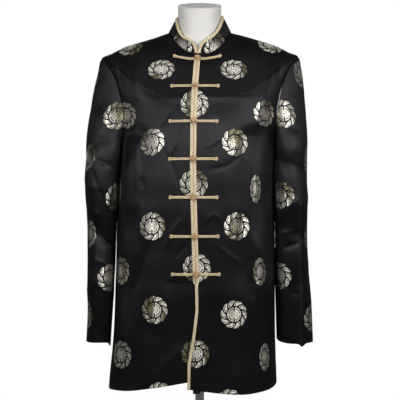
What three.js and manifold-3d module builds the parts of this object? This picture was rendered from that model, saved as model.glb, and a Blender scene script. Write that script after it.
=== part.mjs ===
// A Tang jacket on a limbless dress form. Millimetres, +Z up, the jacket's front faces -Y.
// The origin is the centre of the stand's underside. Wearer's right is -X, wearer's left is +X.
import * as THREE from 'three';
import { mergeVertices } from 'three/addons/utils/BufferGeometryUtils.js';
import Module from 'manifold-3d';

// ---- Driving sizes -------------------------------------------------------------------------
const clothThick = 1.5;
const collarThick = 1.8;
const seamGap = 0.3;
const footGap = 0.4; // under the collar's foot, whose columns differ from the panels'
const trimGap = 0.45; // under a frog, whose straight stations cross the panel's facets

const bindingThick = 0.8;
const bindingWidth = 6.5;
const placketWidth = 16;
const placketDrop = 25; // how far the placket's end hangs below the right front's hem

const frogHeights = [887.5, 826.4, 748.9, 667.6, 584.8, 500.6, 418.7];
const frogReach = 54; // from the closing to a bar's tip
const frogHigh = 5.9; // height of the doubled cord
const frogThick = 3.4;
const frogTipHigh = 8.7;
const firstFrogRise = 9; // how much the first frog's tips stand above its middle
const loopCord = 2.6;
const ballRadius = 5.2;

const standX = -0.8; // the dress form's axis
const neckRadius = 49;
const neckSet = 15; // the neck's axis lies this far behind the shoulder plane
const capThick = 4;
const capTopZ = 1018.5;
const capTilt = THREE.MathUtils.degToRad(15);
const torsoBottom = 235;
const poleRadius = 10;
const baseRadius = 150;
const baseThick = 8;

// Rows of numbers under named columns.
function table(columns, rows) {
  return rows.map((row) => Object.fromEntries(columns.map((name, i) => [name, row[i]])));
}

// ---- The jacket's girth, one row for each level from the hem to the neck seam --------------
// half is half the width, front and back are depths from the level's middle, which lies set
// behind the shoulder plane, and zSide, zFront and zBack are the level's heights there. A larger
// drop lets a level fall sooner from the shoulder's ridge, lean raises the wearer's left side
// and lowers the right one, and square is the superellipse's exponent.
const sections = table(
  ['level', 'half', 'front', 'back', 'set', 'zSide', 'zFront', 'zBack', 'drop', 'lean', 'shift', 'square'],
  [
    [0, 188, 131, 118, 0, 163, 168, 158, 2, 0, -16.5, 2.1],
    [1, 180, 134, 115, 0, 300, 300, 296, 2, 0, -12.3, 2.15],
    [2, 177, 138, 113, 0, 470, 470, 468, 2, 0, -10, 2.2],
    [3, 175, 141, 112, 0, 600, 600, 600, 2, 0, -9, 2.2],
    [4, 175, 140, 110, 0, 690, 690, 692, 2, 0, -5, 2.1],
    [5, 190, 133, 107, 0, 768, 755, 772, 3, 1, 0, 1.95],
    [6, 221, 121, 102, 0, 895, 801, 848, 6, 2.4, 0, 1.7],
    [7, 198, 114, 97, 3, 909, 826, 876, 5.5, 2, 0, 1.74],
    [8, 172, 105, 91, 7, 923, 849, 903, 4.5, 1.6, 0, 1.82],
    [9, 113, 92, 78, 11, 942, 877, 944, 3, 1.8, 0, 1.94],
    [10, 68.7, 75, 61, neckSet, 956, 899.5, 968, 2, 0, 0, 2],
  ],
);
const armpitLevel = 4;
const shoulderLevel = 6;
const neckLevel = 10;

// How many degrees the armhole cuts into each panel, seen from the body's axis.
const armholeDeep = { front_right: 9, front_left: 13, back: 14 };

// The closing: where the outer edge of each front's binding lies. tuck is how far the right
// front lies behind the left one, which laps over it below the last frog.
const closing = [
  { z: 150, right: 2, left: -28, tuck: 5.4 },
  { z: 224, right: 2, left: -27, tuck: 5.4 },
  { z: 282, right: 1, left: -17, tuck: 5.2 },
  { z: 340, right: 0, left: -10, tuck: 5 },
  { z: 394, right: -4, left: -11, tuck: 5 },
  { z: 402, right: -8.6, left: -8.7, tuck: 4.9 },
  { z: 411, right: -8.7, left: -8.7, tuck: 0 },
  { z: 500, right: -11.5, left: -11.5, tuck: 0 },
  { z: 585, right: -14, left: -14, tuck: 0 },
  { z: 668, right: -15, left: -15, tuck: 0 },
  { z: 749, right: -14, left: -14, tuck: 0 },
  { z: 826, right: -11, left: -11, tuck: 0 },
  { z: 900, right: -5, left: -5, tuck: 0 },
];

// How much each front's hem hangs above (+) or below (-) the hem level, by degrees from the
// centre front towards the wearer's left.
const hemLift = {
  front_right: [
    { turn: -90, lift: -5 },
    { turn: -62, lift: -4 },
    { turn: -35, lift: 5 },
    { turn: -5, lift: 16 },
  ],
  front_left: [
    { turn: -8, lift: 3 },
    { turn: 10, lift: -3 },
    { turn: 45, lift: -10 },
    { turn: 68, lift: -3 },
    { turn: 90, lift: 11 },
  ],
  back: [{ turn: 90, lift: 11 }, { turn: 140, lift: -4 }, { turn: 220, lift: 3 }, { turn: 270, lift: -5 }],
};

// The largest folds of the body: each is a ridge (depth > 0) or trough (depth < 0) centred on
// turn degrees at its lower level, drifting by drift degrees a level, and width degrees wide.
const bodyFolds = [
  { turn: -60, drift: 2, from: 2.5, to: 4.3, width: 8, depth: 6 },
  { turn: -47, drift: -3, from: 2.7, to: 4.6, width: 7, depth: -4 },
  { turn: -66, drift: 8, from: 1.3, to: 2.5, width: 7, depth: -6 },
  { turn: -74, drift: 6, from: 0.2, to: 2.4, width: 8, depth: 4 },
  { turn: 43, drift: 1, from: 1.6, to: 4.6, width: 8, depth: -5 },
  { turn: 57, drift: -1, from: 1.2, to: 6.2, width: 9, depth: 5 },
  { turn: 66, drift: 0, from: 0.1, to: 1.8, width: 9, depth: 4 },
  { turn: -24, drift: 3, from: 0, to: 1.6, width: 10, depth: 3 },
  { turn: 22, drift: -2, from: 0, to: 1.4, width: 11, depth: -3 },
  { turn: 118, drift: 2, from: 0.3, to: 4.4, width: 9, depth: 5 },
  { turn: 136, drift: 4, from: 1.2, to: 4.8, width: 9, depth: -5 },
  { turn: 168, drift: -4, from: 0, to: 2.6, width: 12, depth: 4 },
  { turn: 205, drift: 3, from: 0.4, to: 3, width: 11, depth: -4 },
  { turn: 226, drift: -3, from: 1.4, to: 4.9, width: 9, depth: -5 },
  { turn: 243, drift: -1, from: 0.4, to: 4.3, width: 9, depth: 5 },
];

// Each sleeve as it hangs: distances of its outer and inner side from the middle plane, and of
// its front and back from the shoulder plane.
const sleeves = {
  sleeve_right: {
    side: -1,
    reach: 230,
    cuff: { outer: 267, front: 263.5, inner: 251, back: 262, tip: 0 },
    hang: [
      { z: 258, outer: 255, inner: 200, front: 56, back: 54 },
      { z: 350, outer: 250.5, inner: 195, front: 63, back: 60 },
      { z: 500, outer: 252, inner: 186, front: 71, back: 66 },
      { z: 600, outer: 257, inner: 176, front: 76, back: 71 },
      { z: 690, outer: 257, inner: 168, front: 80, back: 75 },
      { z: 894, outer: 250, inner: 171, front: 76, back: 72 },
    ],
    folds: [
      { z: 805, tilt: 20, turn: 55, spread: 45, high: 30, depth: -5 },
      { z: 700, tilt: 24, turn: 60, spread: 50, high: 28, depth: -5 },
      { z: 610, tilt: -20, turn: 70, spread: 50, high: 28, depth: 4 },
      { z: 500, tilt: -40, turn: 85, spread: 55, high: 28, depth: -7 },
      { z: 390, tilt: 20, turn: 70, spread: 50, high: 34, depth: 4 },
      { z: 640, tilt: 22, turn: 270, spread: 60, high: 30, depth: -6 },
      { z: 520, tilt: -25, turn: 280, spread: 60, high: 30, depth: -6 },
      { z: 760, tilt: 16, turn: 290, spread: 45, high: 30, depth: -5 },
    ],
  },
  sleeve_left: {
    side: 1,
    reach: 190,
    cuff: { outer: 262, front: 260, inner: 268, back: 262, tip: 7 },
    hang: [
      { z: 258, outer: 253.5, inner: 171, front: 46, back: 42 },
      { z: 350, outer: 249.5, inner: 168, front: 58, back: 54 },
      { z: 430, outer: 243, inner: 165, front: 66, back: 62 },
      { z: 500, outer: 240.5, inner: 163, front: 70, back: 66 },
      { z: 600, outer: 239.5, inner: 161, front: 76, back: 72 },
      { z: 690, outer: 239.5, inner: 161, front: 79, back: 75 },
      { z: 894, outer: 240, inner: 160, front: 76, back: 72 },
    ],
    folds: [
      { z: 790, tilt: -20, turn: 50, spread: 45, high: 30, depth: -5 },
      { z: 655, tilt: 24, turn: 85, spread: 50, high: 28, depth: -6 },
      { z: 575, tilt: -18, turn: 50, spread: 50, high: 30, depth: 4 },
      { z: 500, tilt: 24, turn: 75, spread: 50, high: 28, depth: -6 },
      { z: 390, tilt: -18, turn: 90, spread: 50, high: 32, depth: -4 },
      { z: 620, tilt: -24, turn: 275, spread: 60, high: 30, depth: -6 },
      { z: 500, tilt: 22, turn: 265, spread: 60, high: 30, depth: -6 },
      { z: 770, tilt: -16, turn: 290, spread: 45, high: 30, depth: -5 },
    ],
  },
};
const sleeveRings = [
  0, 0.03, 0.07, 0.12, 0.18, 0.25, 0.32, 0.39, 0.46, 0.53, 0.6, 0.67, 0.75, 0.84, 0.93, 1,
];
const cuffTipTurn = THREE.MathUtils.degToRad(72); // where a cuff's pressed corner hangs lowest
const cuffTipWide = THREE.MathUtils.degToRad(8);
const sleeveClear = 3.4; // between the middles of a sleeve's wall and the body's
const lap = clothThick + seamGap; // the sleeve's edge lies over the armhole's edge

// The stand collar's top edge, and the two corners rounded away from the closing.
// Its wearer's-right half (right) dips lower on its way to the closing than the left half.
const collarSection = {
  half: 52.2,
  front: 60,
  back: 53,
  set: neckSet,
  zFront: 937.5,
  zBack: 1008,
  lean: 0,
  shift: standX,
  square: 2,
};
const collarTop = {
  right: { ...collarSection, zSide: 990, drop: 4.2 },
  left: { ...collarSection, zSide: 994, drop: 2.6 },
};
const cornerTurn = THREE.MathUtils.degToRad(25);
const cornerStart = 0.08; // share of the collar's height that is left at the closing

// How far the dress form lies inside the cloth's middle, one row for each level it passes.
const formInset = [
  { level: 0.5, side: 34, front: 22, back: 18 },
  { level: 1, side: 24, front: 18, back: 14 },
  { level: 2, side: 26, front: 26, back: 20 },
  { level: 3, side: 26, front: 22, back: 18 },
  { level: 4, side: 22, front: 16, back: 14 },
  { level: 5, side: 24, front: 13, back: 12 },
  { level: 6, side: 30, front: 11, back: 9 },
  { level: 7, side: 5, front: 9, back: 6 },
  { level: 8, side: 1.6, front: 7, back: 3 },
  { level: 9, side: 1.5, front: 5.2, back: 1.8 },
  { level: 10, side: 1.5, front: 2.8, back: 1.6 },
];

// ---- Rows of the mesh ----------------------------------------------------------------------
const bodyHeights = [215, 262, 310, 355, 394, 402, 411, 450, 500, 550, 600, 645];
const armholeSteps = 10;
const frontColumns = 13;
const backColumns = 21;
const collarColumns = 36; // between the two rounded corners
const cornerSteps = 5;

// ---- Small maths ---------------------------------------------------------------------------
const rad = THREE.MathUtils.degToRad;
const quarter = Math.PI / 2;

function smooth(share) {
  const t = THREE.MathUtils.clamp(share, 0, 1);
  return t * t * (3 - 2 * t);
}

function bump(distance, width) {
  return Math.exp(-((distance / width) ** 2));
}

// The larger of two values with its corner rounded, so it is never below either.
function softMax(a, b, round) {
  return (a + b + Math.sqrt((a - b) ** 2 + round * round)) / 2;
}

// The place of value between two rows of a table sorted by key.
function find(rows, key, value) {
  let i = 0;
  while (i < rows.length - 2 && value > rows[i + 1][key]) i += 1;
  const t = (value - rows[i][key]) / (rows[i + 1][key] - rows[i][key]);
  return { i, t: THREE.MathUtils.clamp(t, 0, 1) };
}

function linear(rows, key, value, column) {
  const { i, t } = find(rows, key, value);
  return THREE.MathUtils.lerp(rows[i][column], rows[i + 1][column], t);
}

// A cubic through a table's rows that never passes beyond them.
function curve(rows, key, value, column) {
  const { i, t } = find(rows, key, value);
  const chord = (k) => (rows[k + 1][column] - rows[k][column]) / (rows[k + 1][key] - rows[k][key]);
  const slope = (k) => {
    if (k === 0) return chord(0);
    if (k === rows.length - 1) return chord(k - 1);
    const below = chord(k - 1);
    const above = chord(k);
    return below * above > 0 ? (2 * below * above) / (below + above) : 0;
  };
  const span = rows[i + 1][key] - rows[i][key];
  const rise = rows[i + 1][column] - rows[i][column];
  const square = 3 * rise - span * (2 * slope(i) + slope(i + 1));
  const cube = span * (slope(i) + slope(i + 1)) - 2 * rise;
  return rows[i][column] + span * slope(i) * t + square * t * t + cube * t * t * t;
}

// ---- The jacket's surface ------------------------------------------------------------------
function sectionAt(level) {
  const columns = Object.keys(sections[0]).filter((name) => name !== 'level');
  return Object.fromEntries(columns.map((name) => [name, curve(sections, 'level', level, name)]));
}

// The point of a superellipse section that lies turn radians round from the centre front.
function onSection(section, turn) {
  const sin = Math.sin(turn);
  const cos = Math.cos(turn);
  const isFront = cos > 0;
  const depth = isFront ? section.front : section.back;
  const across = (Math.abs(sin) / section.half) ** section.square;
  const along = (Math.abs(cos) / depth) ** section.square;
  const radius = (across + along) ** (-1 / section.square);
  const fall = 1 - Math.abs(sin) ** section.drop;
  const z = THREE.MathUtils.lerp(section.zSide, isFront ? section.zFront : section.zBack, fall);
  const y = section.set - radius * cos;
  return new THREE.Vector3(section.shift + radius * sin, y, z + section.lean * sin * sin * sin);
}

function foldHeight(turn, level) {
  const degrees = THREE.MathUtils.euclideanModulo(THREE.MathUtils.radToDeg(turn) + 90, 360) - 90;
  return bodyFolds.reduce((sum, fold) => {
    const centre = fold.turn + fold.drift * (level - fold.from);
    const ends = smooth((level - fold.from) / 0.5 + 0.5) * smooth((fold.to - level) / 0.5 + 0.5);
    return sum + fold.depth * ends * bump(degrees - centre, fold.width);
  }, 0);
}

// The middle of the cloth. Folds push it straight out from, or towards, the body's axis.
function bell(turn, level) {
  const point = onSection(sectionAt(level), turn);
  const push = foldHeight(turn, level);
  point.x += push * Math.sin(turn);
  point.y -= push * Math.cos(turn);
  return point;
}

function levelOf(turn, z) {
  let low = 0;
  let high = neckLevel;
  for (let i = 0; i < 40; i += 1) {
    const middle = (low + high) / 2;
    if (onSection(sectionAt(middle), turn).z < z) low = middle;
    else high = middle;
  }
  return (low + high) / 2;
}

function panelPoint(panel, turn, level) {
  const point = bell(turn, level);
  const low = Math.max(1 - level, 0);
  const degrees = THREE.MathUtils.radToDeg(turn);
  point.z += curve(hemLift[panel], 'turn', degrees, 'lift') * low * low;
  if (panel === 'front_right') {
    point.y += linear(closing, 'z', point.z, 'tuck') * smooth((point.x + 80) / 45);
  }
  return point;
}

// Outward normal of a surface given as a function of two numbers.
function normalOf(surface, a, b) {
  const step = 0.01;
  const alongA = surface(a + step, b).sub(surface(a - step, b));
  const alongB = surface(a, b + step).sub(surface(a, b - step));
  return alongA.cross(alongB).normalize();
}

// ---- Closed solids -------------------------------------------------------------------------
function solid(points, quads, triangles = []) {
  const faces = [...triangles];
  for (const [a, b, c, d] of quads) faces.push([a, b, c], [a, c, d]);
  const volume = faces.reduce(
    (sum, [a, b, c]) => sum + points[a].dot(new THREE.Vector3().crossVectors(points[b], points[c])),
    0,
  );
  if (volume < 0) faces.forEach((face) => face.reverse());
  const geometry = new THREE.BufferGeometry();
  geometry.setAttribute('position', new THREE.Float32BufferAttribute(points.flatMap((p) => p.toArray()), 3));
  geometry.setIndex(faces.flat());
  return geometry;
}

// A wall on both sides of a grid of middle points. A tube's columns close on themselves.
function wall(grid, thick, isTube = false) {
  const rows = grid.length;
  const columns = grid[0].length;
  const layer = (side) => grid.flatMap((row) =>
    row.map(({ point, normal }) => point.clone().addScaledVector(normal, (side * thick) / 2)));
  const points = [...layer(1), ...layer(-1)];
  const at = (side, row, column) => side * rows * columns + row * columns + (column % columns);
  const quads = [];
  const lastColumn = isTube ? columns : columns - 1;
  for (let c = 0; c < lastColumn; c += 1) {
    for (let r = 0; r < rows - 1; r += 1) {
      quads.push([at(0, r, c), at(0, r, c + 1), at(0, r + 1, c + 1), at(0, r + 1, c)]);
      quads.push([at(1, r, c), at(1, r + 1, c), at(1, r + 1, c + 1), at(1, r, c + 1)]);
    }
    quads.push([at(0, 0, c), at(1, 0, c), at(1, 0, c + 1), at(0, 0, c + 1)]);
    quads.push([at(0, rows - 1, c), at(0, rows - 1, c + 1), at(1, rows - 1, c + 1), at(1, rows - 1, c)]);
  }
  if (!isTube) {
    for (let r = 0; r < rows - 1; r += 1) {
      const c = columns - 1;
      quads.push([at(0, r, 0), at(0, r + 1, 0), at(1, r + 1, 0), at(1, r, 0)]);
      quads.push([at(0, r, c), at(1, r, c), at(1, r + 1, c), at(0, r + 1, c)]);
    }
  }
  return solid(points, quads);
}

// A bar through rings of points, closed at both ends by the given triangles of a ring.
function bar(rings, capFaces) {
  const count = rings[0].length;
  const points = rings.flat();
  const quads = [];
  for (let r = 0; r < rings.length - 1; r += 1) {
    for (let i = 0; i < count; i += 1) {
      const j = (i + 1) % count;
      quads.push([r * count + i, r * count + j, (r + 1) * count + j, (r + 1) * count + i]);
    }
  }
  const last = (rings.length - 1) * count;
  const start = capFaces.map((face) => [...face].reverse());
  const end = capFaces.map((face) => face.map((i) => last + i));
  return solid(points, quads, [...start, ...end]);
}

function fan(count) {
  return Array.from({ length: count - 2 }, (_, i) => [0, i + 1, i + 2]);
}

// ---- Joining with manifold-3d --------------------------------------------------------------
const wasm = await Module();
wasm.setup();

function toManifold(geometry) {
  const bare = geometry.clone();
  bare.deleteAttribute('normal');
  bare.deleteAttribute('uv');
  const merged = mergeVertices(bare, 1e-4);
  return new wasm.Manifold(new wasm.Mesh({
    numProp: 3,
    vertProperties: new Float32Array(merged.attributes.position.array),
    triVerts: new Uint32Array(merged.index.array),
  }));
}

function join(a, b) {
  const mesh = toManifold(a).add(toManifold(b)).getMesh();
  const geometry = new THREE.BufferGeometry();
  geometry.setAttribute('position', new THREE.BufferAttribute(new Float32Array(mesh.vertProperties), 3));
  geometry.setIndex(new THREE.BufferAttribute(new Uint32Array(mesh.triVerts), 1));
  return geometry;
}

// ---- Materials -----------------------------------------------------------------------------
const looks = {
  satin: { color: 0x14110f, roughness: 0.42, metalness: 0 },
  cord: { color: 0xd8bd8c, roughness: 0.5, metalness: 0 },
  shell: { color: 0xe6e2dc, roughness: 0.6, metalness: 0 },
  steel: { color: 0x9a9a9c, roughness: 0.35, metalness: 0.9 },
};
const jacketOnForm = new THREE.Group();

function addMesh(name, geometry, look) {
  const mesh = new THREE.Mesh(geometry, new THREE.MeshStandardMaterial(looks[look]));
  mesh.name = name;
  jacketOnForm.add(mesh);
  return mesh;
}

// ---- Levels and edges shared by the panels -------------------------------------------------
const armholeLevels = Array.from({ length: armholeSteps + 1 }, (_, k) => {
  const share = (1 - Math.cos((Math.PI * k) / armholeSteps)) / 2;
  return THREE.MathUtils.lerp(armpitLevel, shoulderLevel, share);
});
const levels = [
  0,
  ...bodyHeights.map((z) => levelOf(0, z)),
  ...armholeLevels,
  7,
  8,
  9,
  neckLevel,
];

// How far the armhole's edge lies from the side, in radians, at a level.
function armholeTurn(panel, level) {
  const share = (level - armpitLevel) / (shoulderLevel - armpitLevel);
  return share > 0 && share < 1 ? rad(armholeDeep[panel]) * 2 * Math.sqrt(share * (1 - share)) : 0;
}

// The turn at which a panel reaches a given x near the centre front.
function turnAtX(panel, x, level) {
  let low = -0.6;
  let high = 0.6;
  for (let i = 0; i < 40; i += 1) {
    const middle = (low + high) / 2;
    if (panelPoint(panel, middle, level).x < x) low = middle;
    else high = middle;
  }
  return (low + high) / 2;
}

function closingTurn(panel, level) {
  const isRight = panel === 'front_right';
  const z = panelPoint(panel, 0, level).z;
  const edge = linear(closing, 'z', z, isRight ? 'right' : 'left');
  const inset = seamGap / 2 + bindingThick + seamGap;
  return turnAtX(panel, edge + (isRight ? -inset : inset), level);
}

const panelEdges = {
  front_right: (level) => [-quarter + armholeTurn('front_right', level), closingTurn('front_right', level)],
  front_left: (level) => [closingTurn('front_left', level), quarter - armholeTurn('front_left', level)],
  back: (level) => [quarter + armholeTurn('back', level), 3 * quarter - armholeTurn('back', level)],
};

// A panel's middle points, moved back by half a seam gap along its edges.
function panelGrid(name, columns) {
  const surface = (turn, level) => panelPoint(name, turn, level);
  const grid = levels.map((level) => {
    const [start, end] = panelEdges[name](level);
    return Array.from({ length: columns }, (_, c) => {
      const turn = THREE.MathUtils.lerp(start, end, c / (columns - 1));
      return { turn, level, point: surface(turn, level), normal: normalOf(surface, turn, level) };
    });
  });
  for (const row of grid) {
    pull(row[0].point, row[1].point);
    pull(row[columns - 1].point, row[columns - 2].point);
  }
  return grid;
}

function pull(point, towards) {
  point.addScaledVector(towards.clone().sub(point).normalize(), seamGap / 2);
}

const panels = {
  front_right: panelGrid('front_right', frontColumns),
  front_left: panelGrid('front_left', frontColumns),
  back: panelGrid('back', backColumns),
};
for (const [name, grid] of Object.entries(panels)) addMesh(name, wall(grid, clothThick), 'satin');

// ---- Sleeves -------------------------------------------------------------------------------
// The armhole's edge as a loop: shoulder point, down the front, armpit, up the back.
function armholeLoop(side) {
  const front = side < 0 ? panels.front_right : panels.front_left;
  const first = levels.indexOf(armpitLevel);
  const edge = (grid, k, atStart) => {
    const row = grid[first + k];
    return row[atStart ? 0 : row.length - 1];
  };
  const loop = [];
  for (let k = armholeSteps; k > 0; k -= 1) loop.push(edge(front, k, side < 0));
  for (let k = 0; k < armholeSteps; k += 1) loop.push(edge(panels.back, k, side > 0));
  return loop;
}

// The least distance from the middle plane at which a sleeve clears the body's side.
function bodyReach(side, y, z) {
  const section = sectionAt(levelOf(quarter, z));
  const depth = y < 0 ? section.front : section.back;
  const share = Math.abs(y) / depth;
  if (share >= 1) return 0;
  return side * section.shift + section.half * (1 - share ** section.square) ** (1 / section.square);
}

// A sleeve's section at a height: turn 0 is its outer side, a quarter turn its front.
function sleeveSection(sleeve, turn, z) {
  const hang = (column) => curve(sleeve.hang, 'z', z, column);
  const centre = (hang('outer') + hang('inner')) / 2;
  const half = (hang('outer') - hang('inner')) / 2;
  const depth = Math.sin(turn) > 0 ? hang('front') : hang('back');
  const square = 2.3;
  const across = (Math.abs(Math.cos(turn)) / half) ** square;
  const along = (Math.abs(Math.sin(turn)) / depth) ** square;
  const radius = (across + along) ** (-1 / square);
  return { out: centre + radius * Math.cos(turn), y: -radius * Math.sin(turn) };
}

function sleeveFold(sleeve, turn, z) {
  const degrees = THREE.MathUtils.radToDeg(turn);
  return sleeve.folds.reduce((sum, fold) => {
    const away = THREE.MathUtils.euclideanModulo(degrees - fold.turn + 180, 360) - 180;
    const middle = fold.z + (fold.tilt * away) / fold.spread;
    return sum + fold.depth * bump(away, fold.spread) * bump(z - middle, fold.high);
  }, 0);
}

function sleevePoint(sleeve, loop, turn, share) {
  const place = (turn / (2 * Math.PI)) * loop.length;
  const before = loop[Math.floor(place) % loop.length];
  const after = loop[(Math.floor(place) + 1) % loop.length];
  const start = before.point.clone().lerp(after.point, place - Math.floor(place));
  start.addScaledVector(before.normal, lap);
  const low = (1 - Math.cos(turn)) / 2; // 0 at the shoulder point and 1 at the armpit
  const side = Math.sin(turn) > 0 ? sleeve.cuff.front : sleeve.cuff.back;
  const ends = THREE.MathUtils.lerp(sleeve.cuff.outer, sleeve.cuff.inner, low);
  const tip = sleeve.cuff.tip * bump(turn - cuffTipTurn, cuffTipWide);
  const cuffZ = THREE.MathUtils.lerp(ends, side, Math.sin(turn) ** 2) - tip;
  const z = THREE.MathUtils.lerp(start.z, cuffZ, share);
  const drop = start.z - z;
  const reach = THREE.MathUtils.lerp(sleeve.reach, 45, low);
  const blend = drop < reach ? 1 - (1 - drop / reach) ** 2 : 1;
  const hanging = sleeveSection(sleeve, turn, z);
  const fold = sleeveFold(sleeve, turn, z) * smooth(drop / 60) * smooth((z - cuffZ) / 40);
  let out = THREE.MathUtils.lerp(sleeve.side * start.x, hanging.out + fold * Math.cos(turn), blend);
  const y = THREE.MathUtils.lerp(start.y, hanging.y - fold * Math.sin(turn), blend);
  if (z < 760 && drop > 0) {
    const clear = THREE.MathUtils.lerp(lap, sleeveClear, smooth(drop / 25));
    out = softMax(out, bodyReach(sleeve.side, y, z) + clear, Math.min(drop / 6, 4));
  }
  return new THREE.Vector3(sleeve.side * out, y, z);
}

// The loop of the right armhole runs the other way round, so its normals are turned about.
function sleeveGrid(sleeve) {
  const loop = armholeLoop(sleeve.side);
  const rows = sleeveRings.map((share) => loop.map((_, j) =>
    sleevePoint(sleeve, loop, (j / loop.length) * 2 * Math.PI, share)));
  return rows.map((row, r) => row.map((point, j) => {
    const around = row[(j + 1) % row.length].clone().sub(row[(j + row.length - 1) % row.length]);
    const down = rows[Math.min(r + 1, rows.length - 1)][j].clone().sub(rows[Math.max(r - 1, 0)][j]);
    return { point, normal: around.cross(down).multiplyScalar(sleeve.side).normalize() };
  }));
}

for (const [name, sleeve] of Object.entries(sleeves)) {
  addMesh(name, wall(sleeveGrid(sleeve), clothThick, true), 'satin');
}

// ---- Collar --------------------------------------------------------------------------------
const neckEdge = (turn) => bell(turn, neckLevel);

// The collar's foot stands on the panels' last row, just outside the neck seam.
function collarFoot(turn) {
  const down = bell(turn, neckLevel - 1).sub(neckEdge(turn)).normalize();
  const along = neckEdge(turn + 0.05).sub(neckEdge(turn - 0.05));
  const normal = along.cross(down).negate().normalize();
  const point = neckEdge(turn).addScaledVector(normal, clothThick / 2 + footGap);
  return { point: point.addScaledVector(down, collarThick / 2), normal: down };
}

function collarShare(fromClosing) {
  const inside = THREE.MathUtils.clamp(1 - fromClosing / cornerTurn, 0, 1);
  return cornerStart + (1 - cornerStart) * Math.sqrt(1 - inside * inside);
}

function collarPoint(turn, share) {
  const top = Math.sin(turn) < 0 ? collarTop.right : collarTop.left;
  return collarFoot(turn).point.lerp(onSection(top, turn), share);
}

function collarTurns() {
  const inset = seamGap / 2 + bindingThick + seamGap;
  const closingX = closing[closing.length - 1].left;
  const start = Math.asin((closingX + inset) / sections[neckLevel].front);
  const end = Math.asin((closingX - inset) / sections[neckLevel].front) + 2 * Math.PI;
  const corner = Array.from({ length: cornerSteps }, (_, i) =>
    cornerTurn * (1 - Math.cos((quarter * i) / cornerSteps)));
  const middle = Array.from({ length: collarColumns + 1 }, (_, i) =>
    THREE.MathUtils.lerp(start + cornerTurn, end - cornerTurn, i / collarColumns));
  return [
    ...corner.map((away) => ({ turn: start + away, away })),
    ...middle.map((turn) => ({ turn, away: cornerTurn })),
    ...corner.reverse().map((away) => ({ turn: end - away, away })),
  ];
}

const collarGrid = [0, 0.4, 0.75, 1].map((part) => collarTurns().map(({ turn, away }) => {
  const share = part * collarShare(away);
  if (part === 0) return collarFoot(turn);
  return { point: collarPoint(turn, share), normal: normalOf(collarPoint, turn, share), turn, share };
}));
addMesh('collar', wall(collarGrid, collarThick), 'satin');

// ---- Bindings and placket ------------------------------------------------------------------
// A strip folded over a cloth edge. Each station has the edge's middle point, its normal, and
// the next middle point and normal inside the cloth.
const foldedCap = [[0, 1, 2], [0, 2, 7], [2, 3, 6], [2, 6, 7], [3, 4, 5], [3, 5, 6]];

function foldedOver(stations, thick, gap = seamGap) {
  const near = thick / 2 + gap;
  const far = near + bindingThick;
  return bar(stations.map(({ point, normal, inner, innerNormal }) => {
    const leg = (side) => {
      const skin = point.clone().addScaledVector(normal, (side * thick) / 2);
      return inner.clone().addScaledVector(innerNormal, (side * thick) / 2).sub(skin).normalize();
    };
    const into = inner.clone().sub(point).normalize();
    const place = (direction, along, height) =>
      point.clone().addScaledVector(direction, along).addScaledVector(normal, height);
    const width = bindingWidth - bindingThick - seamGap;
    return [
      place(leg(1), width, near),
      place(leg(1), width, far),
      place(into, -seamGap - bindingThick, far),
      place(into, -seamGap - bindingThick, -far),
      place(leg(-1), width, -far),
      place(leg(-1), width, -near),
      place(into, -seamGap, -near),
      place(into, -seamGap, near),
    ];
  }), foldedCap);
}

// The stations of a front's closing edge. The last one stops short of the collar's foot.
function closingStations(grid, atStart) {
  const stations = grid.map((row) => {
    const edge = row[atStart ? 0 : row.length - 1];
    const inside = row[atStart ? 1 : row.length - 2];
    return { point: edge.point, normal: edge.normal, inner: inside.point, innerNormal: inside.normal };
  });
  const last = stations[stations.length - 1];
  const before = stations[stations.length - 2];
  const back = (collarThick + 4 * seamGap) / last.point.distanceTo(before.point);
  stations[stations.length - 1] = {
    point: last.point.clone().lerp(before.point, back),
    normal: last.normal.clone().lerp(before.normal, back).normalize(),
    inner: last.inner.clone().lerp(before.inner, back),
    innerNormal: last.innerNormal,
  };
  return stations;
}

const rightEdge = closingStations(panels.front_right, false);
const leftEdge = closingStations(panels.front_left, true);
addMesh('binding_right', foldedOver(rightEdge, clothThick), 'cord');
addMesh('binding_left', foldedOver(leftEdge, clothThick), 'cord');

// The point of the collar that lies width inside its edge, square to it.
function insideCollar({ point, normal, turn, share }, into, width) {
  const step = 0.01;
  const alongTurn = collarPoint(turn + step, share).sub(point).divideScalar(step);
  const alongShare = collarPoint(turn, share + step).sub(point).divideScalar(step);
  const acrossTurn = normal.clone().cross(alongTurn);
  const acrossShare = normal.clone().cross(alongShare);
  const turned = turn + (width * into.dot(acrossShare)) / alongTurn.dot(acrossShare);
  const shared = share + (width * into.dot(acrossTurn)) / alongShare.dot(acrossTurn);
  return { inner: collarPoint(turned, shared), innerNormal: normalOf(collarPoint, turned, shared) };
}

const collarEdge = collarGrid[3].map((edge, i, row) => {
  const next = row[Math.min(i + 1, row.length - 1)].point;
  const last = row[Math.max(i - 1, 0)].point;
  const into = next.clone().sub(last).cross(edge.normal).normalize();
  return { ...edge, ...insideCollar(edge, into, bindingWidth) };
});
addMesh('collar_binding', foldedOver(collarEdge, collarThick, footGap), 'cord');

// The placket lies behind the right front's closing edge and hangs out below its hem.
function placket() {
  const depth = clothThick / 2 + 2 * seamGap + bindingThick + clothThick / 2;
  const rows = rightEdge.slice(0, -3).map(({ point, normal, inner }) => {
    const into = inner.clone().sub(point).normalize();
    return [0, placketWidth].map((along) => ({
      point: point.clone().addScaledVector(into, along).addScaledVector(normal, -depth),
      normal,
    }));
  });
  const end = rows[0].map(({ point, normal }) => ({
    point: point.clone().add(new THREE.Vector3(0, 0, -placketDrop)),
    normal,
  }));
  return wall([end, ...rows], clothThick);
}
addMesh('under_placket', placket(), 'satin');

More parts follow.
